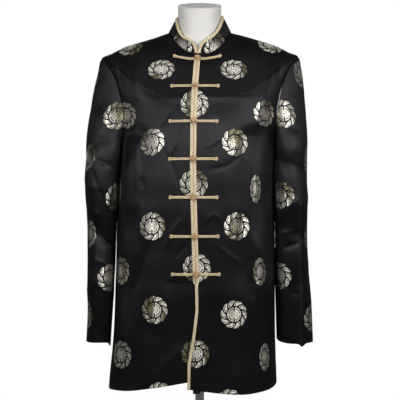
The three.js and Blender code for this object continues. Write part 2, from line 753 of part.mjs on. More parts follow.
// ---- Frogs ---------------------------------------------------------------------------------
// The front skin of a panel at x and z, from its own facets.
function skinAt(grid, x, z) {
  const skin = grid.map((row) => row.map(({ point, normal }) =>
    point.clone().addScaledVector(normal, clothThick / 2)));
  const here = new THREE.Vector3(x, 0, z);
  let best = null;
  for (let r = 0; r < skin.length - 1; r += 1) {
    for (let c = 0; c < skin[0].length - 1; c += 1) {
      const [a, b, d, e] = [skin[r][c], skin[r][c + 1], skin[r + 1][c + 1], skin[r + 1][c]];
      for (const corners of [[a, b, d], [a, d, e]]) {
        const flat = corners.map((p) => new THREE.Vector3(p.x, 0, p.z));
        const share = THREE.Triangle.getBarycoord(here, ...flat, new THREE.Vector3());
        const isInside = share && Math.min(share.x, share.y, share.z) > -1e-6;
        if (!isInside) continue;
        const y = share.x * corners[0].y + share.y * corners[1].y + share.z * corners[2].y;
        if (best === null || y < best.point.y) {
          const normal = new THREE.Vector3().subVectors(corners[1], corners[0]);
          normal.cross(new THREE.Vector3().subVectors(corners[2], corners[0])).normalize();
          best = { point: new THREE.Vector3(x, y, z), normal: normal.multiplyScalar(-Math.sign(normal.y)) };
        }
      }
    }
  }
  return best;
}

// Away from the closing a bar lies on its panel, and at the closing it climbs onto the binding.
function frogStation(frog, away) {
  const x = frog.x + frog.side * away;
  const z = frog.z + frog.rise * (away / frogReach) ** 2;
  const edge = bindingWidth + 2;
  const probe = skinAt(frog.grid, frog.x + frog.side * Math.max(away, 2.2), z);
  const climb = bindingThick + seamGap;
  const lift = climb * (1 - smooth((away - edge) / 4));
  const point = probe.point.clone().setX(x);
  return { point: point.addScaledVector(probe.normal, trimGap + lift), normal: probe.normal };
}

function barSection({ point, normal }, along, high, thick) {
  const up = new THREE.Vector3().crossVectors(normal, along).normalize();
  const flat = [[-0.5, 0.45], [-0.32, 0], [0.32, 0], [0.5, 0.45], [0.32, 1], [-0.32, 1]];
  return flat.map(([a, b]) =>
    point.clone().addScaledVector(up, a * high).addScaledVector(normal, b * thick));
}

function frogBar(frog, stations) {
  const placed = stations.map((station) => ({ ...station, ...frogStation(frog, station.away) }));
  const along = placed[placed.length - 1].point.clone().sub(placed[0].point).normalize();
  return bar(placed.map((station) => barSection(station, along, station.high, station.thick)), fan(6));
}

const armStations = [
  { away: frogReach, high: frogTipHigh * 0.5, thick: frogThick * 0.7 },
  { away: frogReach - 3, high: frogTipHigh, thick: frogThick },
  { away: frogReach - 7, high: frogHigh, thick: frogThick },
  { away: 38, high: frogHigh, thick: frogThick },
  { away: 29, high: frogHigh, thick: frogThick },
  { away: 20, high: frogHigh, thick: frogThick },
  { away: 12.5, high: frogHigh, thick: frogThick },
];
const tongueThick = 1.3;
const loopRadius = ballRadius + seamGap + loopCord / 2;
const loopHeight = tongueThick + seamGap + loopCord / 2;

function turned(geometry, centre, normal) {
  const turn = new THREE.Quaternion().setFromUnitVectors(new THREE.Vector3(0, 0, 1), normal);
  return geometry.applyQuaternion(turn).translate(centre.x, centre.y, centre.z);
}

function frogLoop(frog, hub) {
  const arm = frogBar(frog, [...armStations, { away: loopRadius, high: frogHigh, thick: frogThick }]);
  const centre = hub.point.clone().addScaledVector(hub.normal, loopHeight);
  const ring = turned(new THREE.TorusGeometry(loopRadius, loopCord / 2, 5, 14), centre, hub.normal);
  return join(arm, ring);
}

function frogKnot(frog, hub) {
  const reach = loopRadius + loopCord / 2 + 2 * seamGap;
  const arm = frogBar(frog, [
    ...armStations,
    { away: reach + 1, high: frogHigh, thick: frogThick },
    { away: reach, high: frogHigh * 0.8, thick: tongueThick },
    { away: 3, high: frogHigh * 0.6, thick: tongueThick },
    { away: 0, high: frogHigh * 0.5, thick: tongueThick },
  ]);
  const centre = hub.point.clone().addScaledVector(hub.normal, ballRadius + 0.1);
  const ball = turned(new THREE.IcosahedronGeometry(ballRadius, 1), centre, hub.normal);
  return join(arm, ball);
}

frogHeights.forEach((z, i) => {
  const x = linear(closing, 'z', z, 'left');
  const rise = i === 0 ? firstFrogRise : 0;
  const right = { x, z, rise, side: -1, grid: panels.front_right };
  const left = { x, z, rise, side: 1, grid: panels.front_left };
  const hub = frogStation(left, 0);
  addMesh(`frog_loop_${i + 1}`, frogLoop(right, hub), 'cord');
  addMesh(`frog_knot_${i + 1}`, frogKnot(left, hub), 'cord');
});

// ---- Dress form and stand ------------------------------------------------------------------
const formTurns = 40; // the same columns as the back panel
const neckTopZ = capTopZ - capThick - seamGap;

function formRing(level) {
  const section = sectionAt(level);
  const surface = (turn, at) => onSection(sectionAt(at), turn);
  return Array.from({ length: formTurns }, (_, i) => {
    const turn = (2 * Math.PI * i) / formTurns;
    const facing = Math.cos(turn);
    const far = curve(formInset, 'level', level, facing > 0 ? 'front' : 'back');
    const near = curve(formInset, 'level', level, 'side');
    const inset = THREE.MathUtils.lerp(near, far, facing * facing);
    return onSection(section, turn).addScaledVector(normalOf(surface, turn, level), -inset);
  });
}

// The neck: a round post whose ends are flat ovals tilted like the cap.
function neckRing(height, tilt, radius = neckRadius) {
  return Array.from({ length: formTurns }, (_, i) => {
    const turn = (2 * Math.PI * i) / formTurns;
    const x = standX + radius * Math.sin(turn);
    const back = -radius * Math.cos(turn);
    return new THREE.Vector3(x, neckSet + back, height + back * tilt);
  });
}

// From level 7 up, where the cloth rests on it, the form has the panels' own rows.
const formLevels = [0.5, 1, 1.75, 2.5, 3.25, 4, 4.5, 5, 5.5, 6, 6.5, 7, 8, 9, neckLevel];
const torsoRings = [
  formRing(formLevels[0]).map((point) => point.setZ(torsoBottom)),
  ...formLevels.slice(1).map(formRing),
  neckRing(954, 0.6, neckRadius + 4),
  neckRing(968, 0.5),
  neckRing(neckTopZ, Math.tan(capTilt)),
];
addMesh('form_torso', bar(torsoRings, fan(formTurns)), 'shell');

function turnedProfile(points, segments) {
  const profile = points.map(([radius, height]) => new THREE.Vector2(radius, height));
  return new THREE.LatheGeometry(profile, segments).rotateX(quarter);
}

const capRim = 1.6;
const capProfile = [
  [0, -capThick],
  [neckRadius - 0.6, -capThick],
  [neckRadius, -capThick + 0.6],
  [neckRadius, -capRim],
  [neckRadius - 0.5, -0.5],
  [neckRadius - capRim, 0],
  [0, 0],
];
const cap = addMesh('form_neck_cap', turnedProfile(capProfile, formTurns), 'shell');
cap.rotation.x = capTilt;
cap.position.set(standX, neckSet, capTopZ);

const poleBottom = baseThick + seamGap;
const poleLength = torsoBottom - seamGap - poleBottom;
const poleShape = new THREE.CylinderGeometry(poleRadius, poleRadius, poleLength, 24);
const pole = addMesh('form_pole', poleShape, 'steel');
pole.rotation.x = quarter;
pole.position.set(standX, 0, poleBottom + poleLength / 2);

const baseProfile = [
  [0, 0],
  [baseRadius, 0],
  [baseRadius, baseThick - 2],
  [baseRadius - 2, baseThick],
  [0, baseThick],
];
addMesh('form_base', turnedProfile(baseProfile, 48), 'steel');

export default jacketOnForm;
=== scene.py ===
"""A Tang jacket of black satin brocade on a limbless dress form.

The cloth follows the jacket's own sections at about 3 mm a cell, with its creases laid one by one.
Sizes in the tables are millimetres. Wearer's right is -X, wearer's left is +X, the front is -Y.
"""

import math

import bpy
import numpy as np
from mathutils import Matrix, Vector


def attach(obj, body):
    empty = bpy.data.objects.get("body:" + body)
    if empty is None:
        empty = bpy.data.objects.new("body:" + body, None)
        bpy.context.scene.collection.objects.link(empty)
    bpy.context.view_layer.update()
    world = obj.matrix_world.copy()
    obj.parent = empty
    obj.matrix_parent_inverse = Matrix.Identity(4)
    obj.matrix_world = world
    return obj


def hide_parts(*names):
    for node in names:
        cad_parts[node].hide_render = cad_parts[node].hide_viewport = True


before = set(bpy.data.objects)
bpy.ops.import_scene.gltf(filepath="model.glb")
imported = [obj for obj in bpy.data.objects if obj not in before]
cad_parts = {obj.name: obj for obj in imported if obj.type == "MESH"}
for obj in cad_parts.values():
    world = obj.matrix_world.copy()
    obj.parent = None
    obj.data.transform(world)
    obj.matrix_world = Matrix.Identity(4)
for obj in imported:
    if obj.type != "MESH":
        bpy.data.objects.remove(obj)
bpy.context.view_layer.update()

MM = 0.001
QUARTER = math.pi / 2
TURN = 2 * math.pi

# ---- Camera ----
scene = bpy.context.scene
camera = bpy.data.objects.new("camera", bpy.data.cameras.new("camera"))
scene.collection.objects.link(camera)
camera.location = (0, -3.2, 0.579)
camera.rotation_euler = (QUARTER, 0, 0)
camera.data.sensor_width = 36
camera.data.lens = 128
scene.camera = camera

# ---- Sizes ----
CLOTH = 1.5
COLLAR_CLOTH = 1.8
SEAM_GAP = 0.3
LAP = CLOTH + SEAM_GAP  # from the armhole's cloth to the sleeve's
BINDING_THICK = 0.8
BINDING_WIDTH = 6.5
CLOSING_INSET = SEAM_GAP / 2 + BINDING_THICK + SEAM_GAP
PLACKET_WIDTH = 16
PLACKET_DROP = 25
PLACKET_TOP = 832
CELL = 3.2  # the cloth's row height

FROG_HEIGHTS = [887.5, 826.4, 748.9, 667.6, 584.8, 500.6, 418.7]
FROG_REACH = 54
FIRST_FROG_RISE = 9
STRAND = 2.9  # one of a frog's two cords
BALL_RADIUS = 5.2
LOOP_CORD = 2.6

STAND_X = -0.8
NECK_RADIUS = 49
NECK_SET = 15
CAP_THICK = 4
CAP_TOP = 1018.5
CAP_TILT = math.radians(15)
TORSO_BOTTOM = 235
POLE_RADIUS = 10
BASE_RADIUS = 150
BASE_THICK = 8


def table(text):
    """Columns by name, from a row of names and the rows of numbers under it."""
    names, *rows = (line.split() for line in text.strip().splitlines())
    return dict(zip(names, np.array(rows, float).T))


# The jacket's girth from the hem to the neck seam.
SECTIONS = table("""
    level half front back set z_side z_front z_back drop lean shift square
    0   188  131 118 0  163 168   158 2   0   -16.5 2.1
    1   180  134 115 0  300 300   296 2   0   -12.3 2.15
    2   177  138 113 0  470 470   468 2   0   -10   2.2
    3   175  141 112 0  600 600   600 2   0   -9    2.2
    4   175  140 110 0  690 690   692 2   0   -5    2.1
    5   190  133 107 0  768 755   772 3   1   0     1.95
    6   221  121 102 0  895 801   848 6   2.4 0     1.7
    7   198  114 97  3  909 826   876 5.5 2   0     1.74
    8   172  105 91  7  923 849   903 4.5 1.6 0     1.82
    9   113  92  78  11 942 877   944 3   1.8 0     1.94
    10  68.7 75  61  15 956 899.5 968 2   0   0     2
""")
ARMPIT, SHOULDER, NECK = 4, 6, 10
# How many degrees the armhole cuts into each panel, seen from the body's axis.
ARMHOLE_DEEP = {"front_right": 20, "front_left": 20, "back": 14}

# Where each front's bound edge runs, and how far the right front tucks behind the left one.
CLOSING = table("""
    z   right left  tuck
    150 2     -28   5.4
    224 2     -27   5.4
    282 1     -17   5.2
    340 0     -10   5
    394 -4    -11   5
    402 -8.6  -8.7  4.9
    411 -8.7  -8.7  0
    500 -11.5 -11.5 0
    585 -14   -14   0
    668 -15   -15   0
    749 -14   -14   0
    826 -11   -11   0
    900 -5    -5    0
""")
HEM_LIFT = {
    "front_right": [(-90, -5), (-62, -4), (-35, 5), (-5, 16)],
    "front_left": [(-8, 3), (10, -3), (45, -10), (68, -3), (90, 11)],
    "back": [(90, 11), (140, -4), (220, 3), (270, -5)],
}

# The largest folds: turn at the lower level, drift a level, from, to, width in degrees, depth.
BODY_FOLDS = [
    (-60, 2, 2.5, 4.3, 8, 6),
    (-47, -3, 2.7, 4.6, 7, -4),
    (-66, 8, 1.3, 2.5, 7, -6),
    (-74, 6, 0.2, 2.4, 8, 4),
    (43, 1, 1.6, 4.6, 8, -5),
    (57, -1, 1.2, 6.2, 9, 5),
    (66, 0, 0.1, 1.8, 9, 4),
    (-24, 3, 0, 1.6, 10, 3),
    (22, -2, 0, 1.4, 11, -3),
    (118, 2, 0.3, 4.4, 9, 5),
    (136, 4, 1.2, 4.8, 9, -5),
    (168, -4, 0, 2.6, 12, 4),
    (205, 3, 0.4, 3, 11, -4),
    (226, -3, 1.4, 4.9, 9, -5),
    (243, -1, 0.4, 4.3, 9, 5),
]

# Each sleeve: within what drop it finds its own shape, where its cuff lies round it, where it
# hangs, and its broad folds (z, tilt, turn, spread, high, depth).
SLEEVES = {
    "sleeve_right": {
        "side": -1,
        "reach": 230,
        "cuff": {"outer": 267, "front": 263.5, "inner": 251, "back": 262, "tip": 0},
        "hang": table("""
            z   outer inner front back
            258 255   200   56    54
            350 250.5 195   63    60
            500 252   186   71    66
            600 257   176   76    71
            690 257   168   80    75
            894 250   171   76    72
        """),
        "folds": [
            (805, 20, 55, 45, 30, -5),
            (700, 24, 60, 50, 28, -5),
            (610, -20, 70, 50, 28, 4),
            (500, -40, 85, 55, 28, -7),
            (390, 20, 70, 50, 34, 4),
            (640, 22, 270, 60, 30, -6),
            (520, -25, 280, 60, 30, -6),
            (760, 16, 290, 45, 30, -5),
        ],
    },
    "sleeve_left": {
        "side": 1,
        "reach": 190,
        "cuff": {"outer": 262, "front": 260, "inner": 268, "back": 262, "tip": 7},
        "hang": table("""
            z   outer inner front back
            258 253.5 171   46    42
            350 249.5 168   58    54
            430 243   165   66    62
            500 240.5 163   70    66
            600 239.5 161   76    72
            690 239.5 161   79    75
            894 240   160   76    72
        """),
        "folds": [
            (790, -20, 50, 45, 30, -5),
            (655, 24, 85, 50, 28, -6),
            (575, -18, 50, 50, 30, 4),
            (500, 24, 75, 50, 28, -6),
            (390, -18, 90, 50, 32, -4),
            (620, -24, 275, 60, 30, -6),
            (500, 22, 265, 60, 30, -6),
            (770, -16, 290, 45, 30, -5),
        ],
    },
}
SLEEVE_CLEAR = 3.4
SLEEVE_SQUARE = 2.3

COLLAR_TOP = dict(half=52.2, front=60, back=53, set=NECK_SET, shift=STAND_X, square=2, lean=0)
COLLAR_TOP.update(z_front=937.5, z_back=1008)
COLLAR_RIGHT = dict(COLLAR_TOP, z_side=990, drop=4.2)
COLLAR_LEFT = dict(COLLAR_TOP, z_side=994, drop=2.6)
CORNER_TURN = math.radians(25)
CORNER_START = 0.08

# How far the form's skin lies inside the jacket's section.
FORM_INSET = table("""
    level side front back
    0.5   34   22    18
    1     24   18    14
    2     26   26    20
    3     26   22    18
    4     22   16    14
    5     24   13    12
    6     30   11    9
    7     5    9     6
    8     1.6  7     3
    9     1.5  5.2   1.8
    10    1.5  2.8   1.6
""")

# Creases of each group of pieces: (width, depth, lean, x, z, x, z ...), through points
# on its front or its back. depth > 0 is a ridge, depth < 0 a trough. lean 1 makes its right-hand
# side (looking along it) the steep one, -1 its left-hand side.
CREASES = {
    ("body", "front"): [
        (15, 2.2, 0.5, -118, 797, -65, 799, -11, 800, 44, 801, 94, 801, 144, 790),
        (10, -3, 0, -181, 884, -174, 827),
        (13, 3, 0, -150, 885, -139, 836, -137, 785),
        (9, 3.5, 0, -137, 700, -135, 640, -135, 590, -150, 540),
        (4, -1.6, 0, -128, 633, -120, 599),
        (6, -1.5, 0.5, -58, 781, -88, 735),
        (9, -4, 0.3, -109, 496, -124, 442, -146, 372),
        (9, 2.5, 0, -131, 492, -146, 444, -163, 392),
        (9, 2.6, 0.3, -92, 210, -61, 237, -27, 266),
        (10, -3, 0, -157, 740, -144, 680),
        (4, -1.4, 0.4, -84, 694, -62, 655, -44, 600),
        (4, 1.3, 0, -38, 735, -52, 700, -70, 668),
        (4, 1.2, 0, -128, 700, -119, 655, -124, 612),
        (5, 1.5, 0.4, -34, 545, -62, 508, -80, 462),
        (4, -1.2, 0, -26, 486, -54, 452),
        (4, 1.2, 0.3, 12, 690, 46, 712, 74, 742),
        (5, -1.4, 0.3, 18, 642, 58, 652, 92, 680),
        (4, 1.3, 0.3, 8, 524, 30, 548, 54, 522),
        (5, 1.3, -0.3, 34, 486, 66, 458, 98, 440),
        (10, -3, 0, 185, 900, 173, 845),
        (14, 3.5, 0, 157, 892, 135, 801, 109, 705),
        (4.5, -1.4, 0, 158, 842, 140, 803),
        (11, 3.4, -0.8, 109, 752, 107, 655, 107, 568, 111, 509, 135, 457, 156, 422),
        (10, 2.4, 0, 146, 450, 141, 361, 138, 268),
        (6, -2.4, 0, 110, 411, 114, 356),
        (7, -1.2, 0, 14, 283, 39, 247),
        (8, -1.3, 0, 92, 274, 113, 233),
    ],
    ("body", "back"): [
        (13, 3, 0, 120, 880, 150, 800, 150, 700),
        (13, 3, 0, -150, 880, -140, 800, -150, 690),
        (16, 2, 0.3, -100, 800, 0, 812, 100, 800),
        (9, -2.6, 0.3, 110, 620, 60, 560, 0, 530),
        (9, -2.4, -0.3, -130, 640, -90, 580, -20, 548),
        (10, 2.8, 0.3, -90, 480, -110, 360, -105, 230),
        (10, -2.6, 0, 70, 440, 90, 330, 95, 200),
        (12, 2.2, 0, 20, 330, 10, 240, 14, 175),
        (5, -1.3, 0.3, -40, 882, -72, 852, -112, 838),
        (5, 1.3, 0, 30, 872, 68, 844, 106, 836),
        (4.5, -1.4, 0.4, 96, 734, 68, 698, 52, 640),
        (4.5, 1.3, 0, -30, 742, -58, 712, -92, 704),
        (5, 1.5, 0.4, 38, 556, 66, 508, 88, 456),
        (5, -1.4, 0, -24, 506, -62, 474, -104, 462),
        (4.5, 1.3, 0, 126, 530, 116, 474, 122, 418),
        (6, 1.5, 0.3, -18, 306, -56, 262, -82, 204),
    ],
    ("sleeve_right", "front"): [
        (6, -2, 0.3, -227, 796, -206, 768),
        (6, -2, 0, -228, 720, -190, 728),
        (6, -2.2, 0.4, -232, 668, -190, 650),
        (6, -2.2, 0, -238, 652, -225, 608, -212, 582),
        (6, -3.6, 0.4, -249, 548, -225, 513, -205, 484, -188, 470),
        (5, -1.2, 0, -222, 333, -194, 317),
        (5, -1.2, 0, -214, 304, -192, 289),
        (8, 2.2, 0, -240, 560, -214, 540),
        (8, 1.8, 0, -236, 450, -206, 436),
    ],
    ("sleeve_right", "back"): [
        (7, -2.4, 0.3, -230, 700, -190, 680),
        (7, -2.8, 0.3, -240, 560, -195, 530),
        (7, -2.2, 0, -235, 470, -200, 480),
        (6, -1.4, 0, -225, 360, -195, 350),
    ],
    ("sleeve_left", "front"): [
        (6, -2, 0, 197, 824, 227, 803),
        (6, -2, 0.3, 187, 744, 222, 729),
        (6, -2.2, 0.3, 172, 656, 200, 640),
        (6, -1.8, 0, 202, 684, 228, 667),
        (6, -1.6, 0, 214, 647, 237, 627),
        (7, 2.4, 0, 176, 505, 213, 512),
        (6, -2.8, 0.4, 181, 471, 222, 485),
        (8, 2, 0, 190, 560, 220, 585),
        (6, -1.4, 0, 196, 380, 224, 366),
    ],
    ("sleeve_left", "back"): [
        (7, -2.4, 0.3, 190, 700, 230, 680),
        (7, -2.8, 0.3, 185, 540, 228, 560),
        (7, -2.2, 0, 190, 470, 225, 455),
        (6, -1.4, 0, 195, 350, 230, 360),
    ],
}

# The woven roundels: a half-drop lattice whose rows are half a repeat apart. For each piece, on
# the front or the back, where its roundels lie: (x, z, column, row, width left flat). Small folds
# that the sections don't have take up part of some roundels' width.
LATTICE_ACROSS = 91
LATTICE_UP = 180
ROUNDEL_RADIUS = 30
CLOSING_ROUNDELS = [(-13.5, 614, 0, 0, 1), (-12, 788, 0, 2, 1), (-7, 433, 0, -2, 1)]
CLOSING_ROUNDELS += [(-10, 247, 0, -4, 1)]
ROUNDELS = {
    "front_right": (
        "front",
        CLOSING_ROUNDELS
        + [(-85, 865, -1, 3, 1), (-104, 705, -1, 1, 1), (-104, 522, -1, -1, 1)]
        + [(-98, 341, -1, -3, 1), (-86, 155, -1, -5, 1), (-162, 766, -2, 2, 1)]
        + [(-186, 600, -2, 0, 0.6), (-174, 423, -2, -2, 1), (-173, 239, -2, -4, 1)]
        + [(-155, 920, -2, 4, 1)],
    ),
    "front_left": (
        "front",
        CLOSING_ROUNDELS
        + [(74, 865, 1, 3, 1), (76, 703, 1, 1, 1), (80, 522, 1, -1, 1), (74, 331, 1, -3, 1)]
        + [(63, 139, 1, -5, 1), (142, 768, 2, 2, 1), (121, 603, 2, 0, 0.45)]
        + [(131, 423, 2, -2, 0.55), (142, 235, 2, -4, 0.5), (157, 925, 2, 4, 1)],
    ),
    "back": ("back", [(0, 640, 0, 0, 1)]),
    "sleeve_right": (
        "front",
        [(-246, 674, 0, 0, 0.6), (-243, 504, 0, -2, 0.7), (-247, 324, 0, -4, 0.7)]
        + [(-239, 847, 0, 2, 0.7), (-184, 764, 1, 1, 1), (-189, 586, 1, -1, 0.7)]
        + [(-200, 407, 1, -3, 0.9)],
    ),
    "sleeve_left": (
        "front",
        [(175, 590, 0, 0, 1), (185, 769, 0, 2, 1), (176, 411, 0, -2, 1)]
        + [(243, 671, 1, 1, 0.5), (243, 500, 1, -1, 0.6), (249, 316, 1, -3, 1)],
    ),
}
WHOLE = 0.34  # a roundel reaches this share of a lattice step either way and lies flat on it
CHEST_ROW, CHEST_SHARE = 3, 0.8  # the chest slopes back there, and a roundel looks this tall
LEAST_GAP = 0.1  # in lattice steps, between two rows of roundels


# ---- Small maths ----
def smooth(share):
    t = np.clip(share, 0, 1)
    return t * t * (3 - 2 * t)


def bump(distance, width):
    return np.exp(-((distance / width) ** 2))


def crest(distance, width):
    """A fold with a crisp crest, as starched satin takes it."""
    tip = 0.22
    return np.exp(tip - np.sqrt((distance / width) ** 2 + tip * tip))


def soft_max(a, b, round_):
    return (a + b + np.sqrt((a - b) ** 2 + round_ * round_)) / 2


def curve(xs, ys, x):
    """A cubic through the points that never passes beyond them."""
    xs, ys, x = (np.asarray(v, float) for v in (xs, ys, x))
    chord = np.diff(ys) / np.diff(xs)
    slope = np.concatenate([chord[:1], np.zeros(len(xs) - 2), chord[-1:]])
    below, above = chord[:-1], chord[1:]
    same = below * above > 0
    slope[1:-1][same] = 2 * below[same] * above[same] / (below[same] + above[same])
    i = np.clip(np.searchsorted(xs, x, side="right") - 1, 0, len(xs) - 2)
    span = xs[i + 1] - xs[i]
    rise = ys[i + 1] - ys[i]
    t = np.clip((x - xs[i]) / span, 0, 1)
    square = 3 * rise - span * (2 * slope[i] + slope[i + 1])
    cube = span * (slope[i] + slope[i + 1]) - 2 * rise
    return ys[i] + span * slope[i] * t + square * t * t + cube * t**3


def row_at(columns, key, value):
    """The other columns of a table, where the column called key has the value."""
    return {n: curve(columns[key], column, value) for n, column in columns.items() if n != key}


def halved(low, high, is_under):
    """Where is_under stops holding between low and high."""
    for _ in range(40):
        middle = (low + high) / 2
        under = is_under(middle)
        low, high = np.where(under, middle, low), np.where(under, high, middle)
    return (low + high) / 2


def unit(v):
    return v / np.maximum(np.linalg.norm(v, axis=-1, keepdims=True), 1e-9)


def dot(a, b):
    return (a * b).sum(axis=-1, keepdims=True)


def run_along(path):
    """How far along the path each of its points lies."""
    return np.concatenate([[0], np.cumsum(np.linalg.norm(np.diff(path, axis=0), axis=1))])


def nearest(points, x, z):
    """The number of the point that looks nearest to each x and z, seen along Y."""
    gap = (points[None, :, 0] - x[:, None]) ** 2 + (points[None, :, 2] - z[:, None]) ** 2
    return gap.argmin(axis=1)


def round_angles(count):
    return np.linspace(0, TURN, count, endpoint=False)


# ---- The jacket's surface ----
def on_section(s, turn):
    sin, cos = np.sin(turn), np.cos(turn)
    is_front = cos > 0
    depth = np.where(is_front, s["front"], s["back"])
    across = (np.abs(sin) / s["half"]) ** s["square"]
    along = (np.abs(cos) / depth) ** s["square"]
    radius = (across + along) ** (-1 / s["square"])
    fall = 1 - np.abs(sin) ** s["drop"]
    end = np.where(is_front, s["z_front"], s["z_back"])
    z = s["z_side"] + (end - s["z_side"]) * fall + s["lean"] * sin**3
    return np.stack([s["shift"] + radius * sin, s["set"] - radius * cos, z], axis=-1)


def smooth_point(turn, level):
    return on_section(row_at(SECTIONS, "level", level), turn)


def fold_height(turn, level):
    degrees = np.mod(np.degrees(turn) + 90, 360) - 90
    total = np.zeros(np.broadcast(turn, level).shape)
    for at, drift, low, high, width, depth in BODY_FOLDS:
        centre = at + drift * (level - low)
        ends = smooth((level - low) / 0.5 + 0.5) * smooth((high - level) / 0.5 + 0.5)
        total = total + depth * ends * bump(degrees - centre, width)
    return total


def bell(turn, level):
    point = smooth_point(turn, level)
    push = fold_height(turn, level)
    point[..., 0] += push * np.sin(turn)
    point[..., 1] -= push * np.cos(turn)
    return point


def level_of(turn, z):
    top = np.full(np.shape(z), float(NECK))
    return halved(np.zeros(np.shape(z)), top, lambda level: smooth_point(turn, level)[..., 2] < z)


def closing_at(z, name):
    return np.interp(z, CLOSING["z"], CLOSING[name])


def panel_point(panel, turn, level):
    turn, level = np.broadcast_arrays(np.asarray(turn, float), np.asarray(level, float))
    point = bell(turn, level)
    low = np.maximum(1 - level, 0)
    point[..., 2] += curve(*np.array(HEM_LIFT[panel], float).T, np.degrees(turn)) * low * low
    if panel == "front_right":
        point[..., 1] += closing_at(point[..., 2], "tuck") * smooth((point[..., 0] + 80) / 45)
    return point


def grid_normals(points, tube=False):
    """Outward normals of a grid whose columns run towards larger turns and rows upwards."""
    if tube:
        across = np.roll(points, -1, axis=1) - np.roll(points, 1, axis=1)
    else:
        across = np.gradient(points, axis=1)
    return unit(np.cross(across, np.gradient(points, axis=0)))


# ---- Rows, panels and their creases ----
ARM_STEPS = 60
low_rows = level_of(0, np.arange(168, 690, CELL)[1:])
arm_shares = (1 - np.cos(np.pi * np.arange(ARM_STEPS + 1) / ARM_STEPS)) / 2
arm_rows = ARMPIT + (SHOULDER - ARMPIT) * arm_shares
top_rows = np.linspace(SHOULDER, NECK, 41)[1:]
LEVELS = np.concatenate([[0], low_rows[low_rows < ARMPIT - 0.02], arm_rows, top_rows])
FIRST_ARM = int(np.argmin(np.abs(LEVELS - ARMPIT)))


def armhole_turn(panel):
    share = np.clip((LEVELS - ARMPIT) / (SHOULDER - ARMPIT), 0, 1)
    return math.radians(ARMHOLE_DEEP[panel]) * 2 * np.sqrt(share * (1 - share))


def closing_turn(panel):
    z = panel_point(panel, 0, LEVELS)[..., 2]
    if panel == "front_right":
        x = closing_at(z, "right") - CLOSING_INSET
    else:
        x = closing_at(z, "left") + CLOSING_INSET
    widest = np.full(LEVELS.shape, 0.6)
    return halved(-widest, widest, lambda turn: panel_point(panel, turn, LEVELS)[..., 0] < x)


EDGES = {
    "front_right": (-QUARTER + armhole_turn("front_right"), closing_turn("front_right")),
    "front_left": (closing_turn("front_left"), QUARTER - armhole_turn("front_left")),
    "back": (QUARTER + armhole_turn("back"), 3 * QUARTER - armhole_turn("back")),
}


def panel_grid(name, columns):
    start, end = EDGES[name]
    share = np.linspace(0, 1, columns)[None, :]
    turn = start[:, None] * (1 - share) + end[:, None] * share
    return panel_point(name, turn, LEVELS[:, None])


def wobble(points, seed, amount):
    """The cloth's slight unevenness: a few long waves in different directions."""
    rng = np.random.default_rng(seed)
    total = np.zeros(points.shape[:-1])
    for wave in (150, 110, 80, 60, 45, 34):
        for _ in range(3):
            way = unit(rng.normal(size=3) * (1, 1, 0.6))
            phase = rng.uniform(0, TURN)
            total += (wave / 150) ** 0.9 * np.sin(points @ way * TURN / wave + phase)
    return amount * total / 3


def eased(values, reach=3):
    """A running mean down the rows."""
    padded = np.pad(values, ((reach, reach), (0, 0)), mode="edge")
    return np.mean([padded[i : i + len(values)] for i in range(2 * reach + 1)], axis=0)


def crease_line(path, skin, skin_normals):
    """The path laid on the skin, a point every 3 mm, and the skin's normals there."""
    away = run_along(path)
    along = np.linspace(0, away[-1], max(int(away[-1] / 3), 6))
    through_points = curve if len(path) > 2 else lambda xs, ys, x: np.interp(x, xs, ys)
    x, z = (through_points(away, column, along) for column in path.T)
    under = nearest(skin, x, z)
    return eased(skin[under]), unit(eased(skin_normals[under]))


def crease_height(points, line, up, width, lean):
    """1 on the crest of a crease, less beside it and towards its ends."""
    ahead = unit(np.gradient(line, axis=0))
    across = np.cross(ahead, up)
    offset = points[:, None, :] - line[None, :, :]
    distance = np.linalg.norm(offset, axis=-1)
    closest = distance.argmin(axis=1)
    rows = np.arange(len(closest))
    right = (offset[rows, closest] * across[closest]).sum(axis=-1)
    along = (offset[rows, closest] * ahead[closest]).sum(axis=-1)
    along *= (closest > 0) & (closest < len(line) - 1)
    gap = np.sqrt(np.maximum(distance[rows, closest] ** 2 - along**2, 0))
    wide = width * np.where(right > 0, 1 - 0.55 * lean, 1 + 0.55 * lean)
    share = closest / (len(line) - 1)
    taper = smooth(share / 0.3) * smooth((1 - share) / 0.3)
    return crest(gap, wide) * (0.25 + 0.75 * taper)


def crease_offset(points, group, pool, pool_normals):
    """How far each point moves along its normal. pool is the cloth that a crease is laid on."""
    total = np.zeros(points.shape[:-1])
    pool, pool_normals = pool.reshape(-1, 3), pool_normals.reshape(-1, 3)
    for side, way in (("front", -1), ("back", 1)):
        half = pool_normals[:, 1] * way > -0.2
        for width, depth, lean, *path in CREASES[group, side]:
            path = np.reshape(path, (-1, 2)).astype(float)
            line, up = crease_line(path, pool[half], pool_normals[half])
            reach = 3.2 * width
            low, high = line.min(axis=0) - reach, line.max(axis=0) + reach
            near = ((points > low) & (points < high)).all(axis=-1)
            if near.any():
                total[near] += depth * crease_height(points[near], line, up, width, lean)
    return total


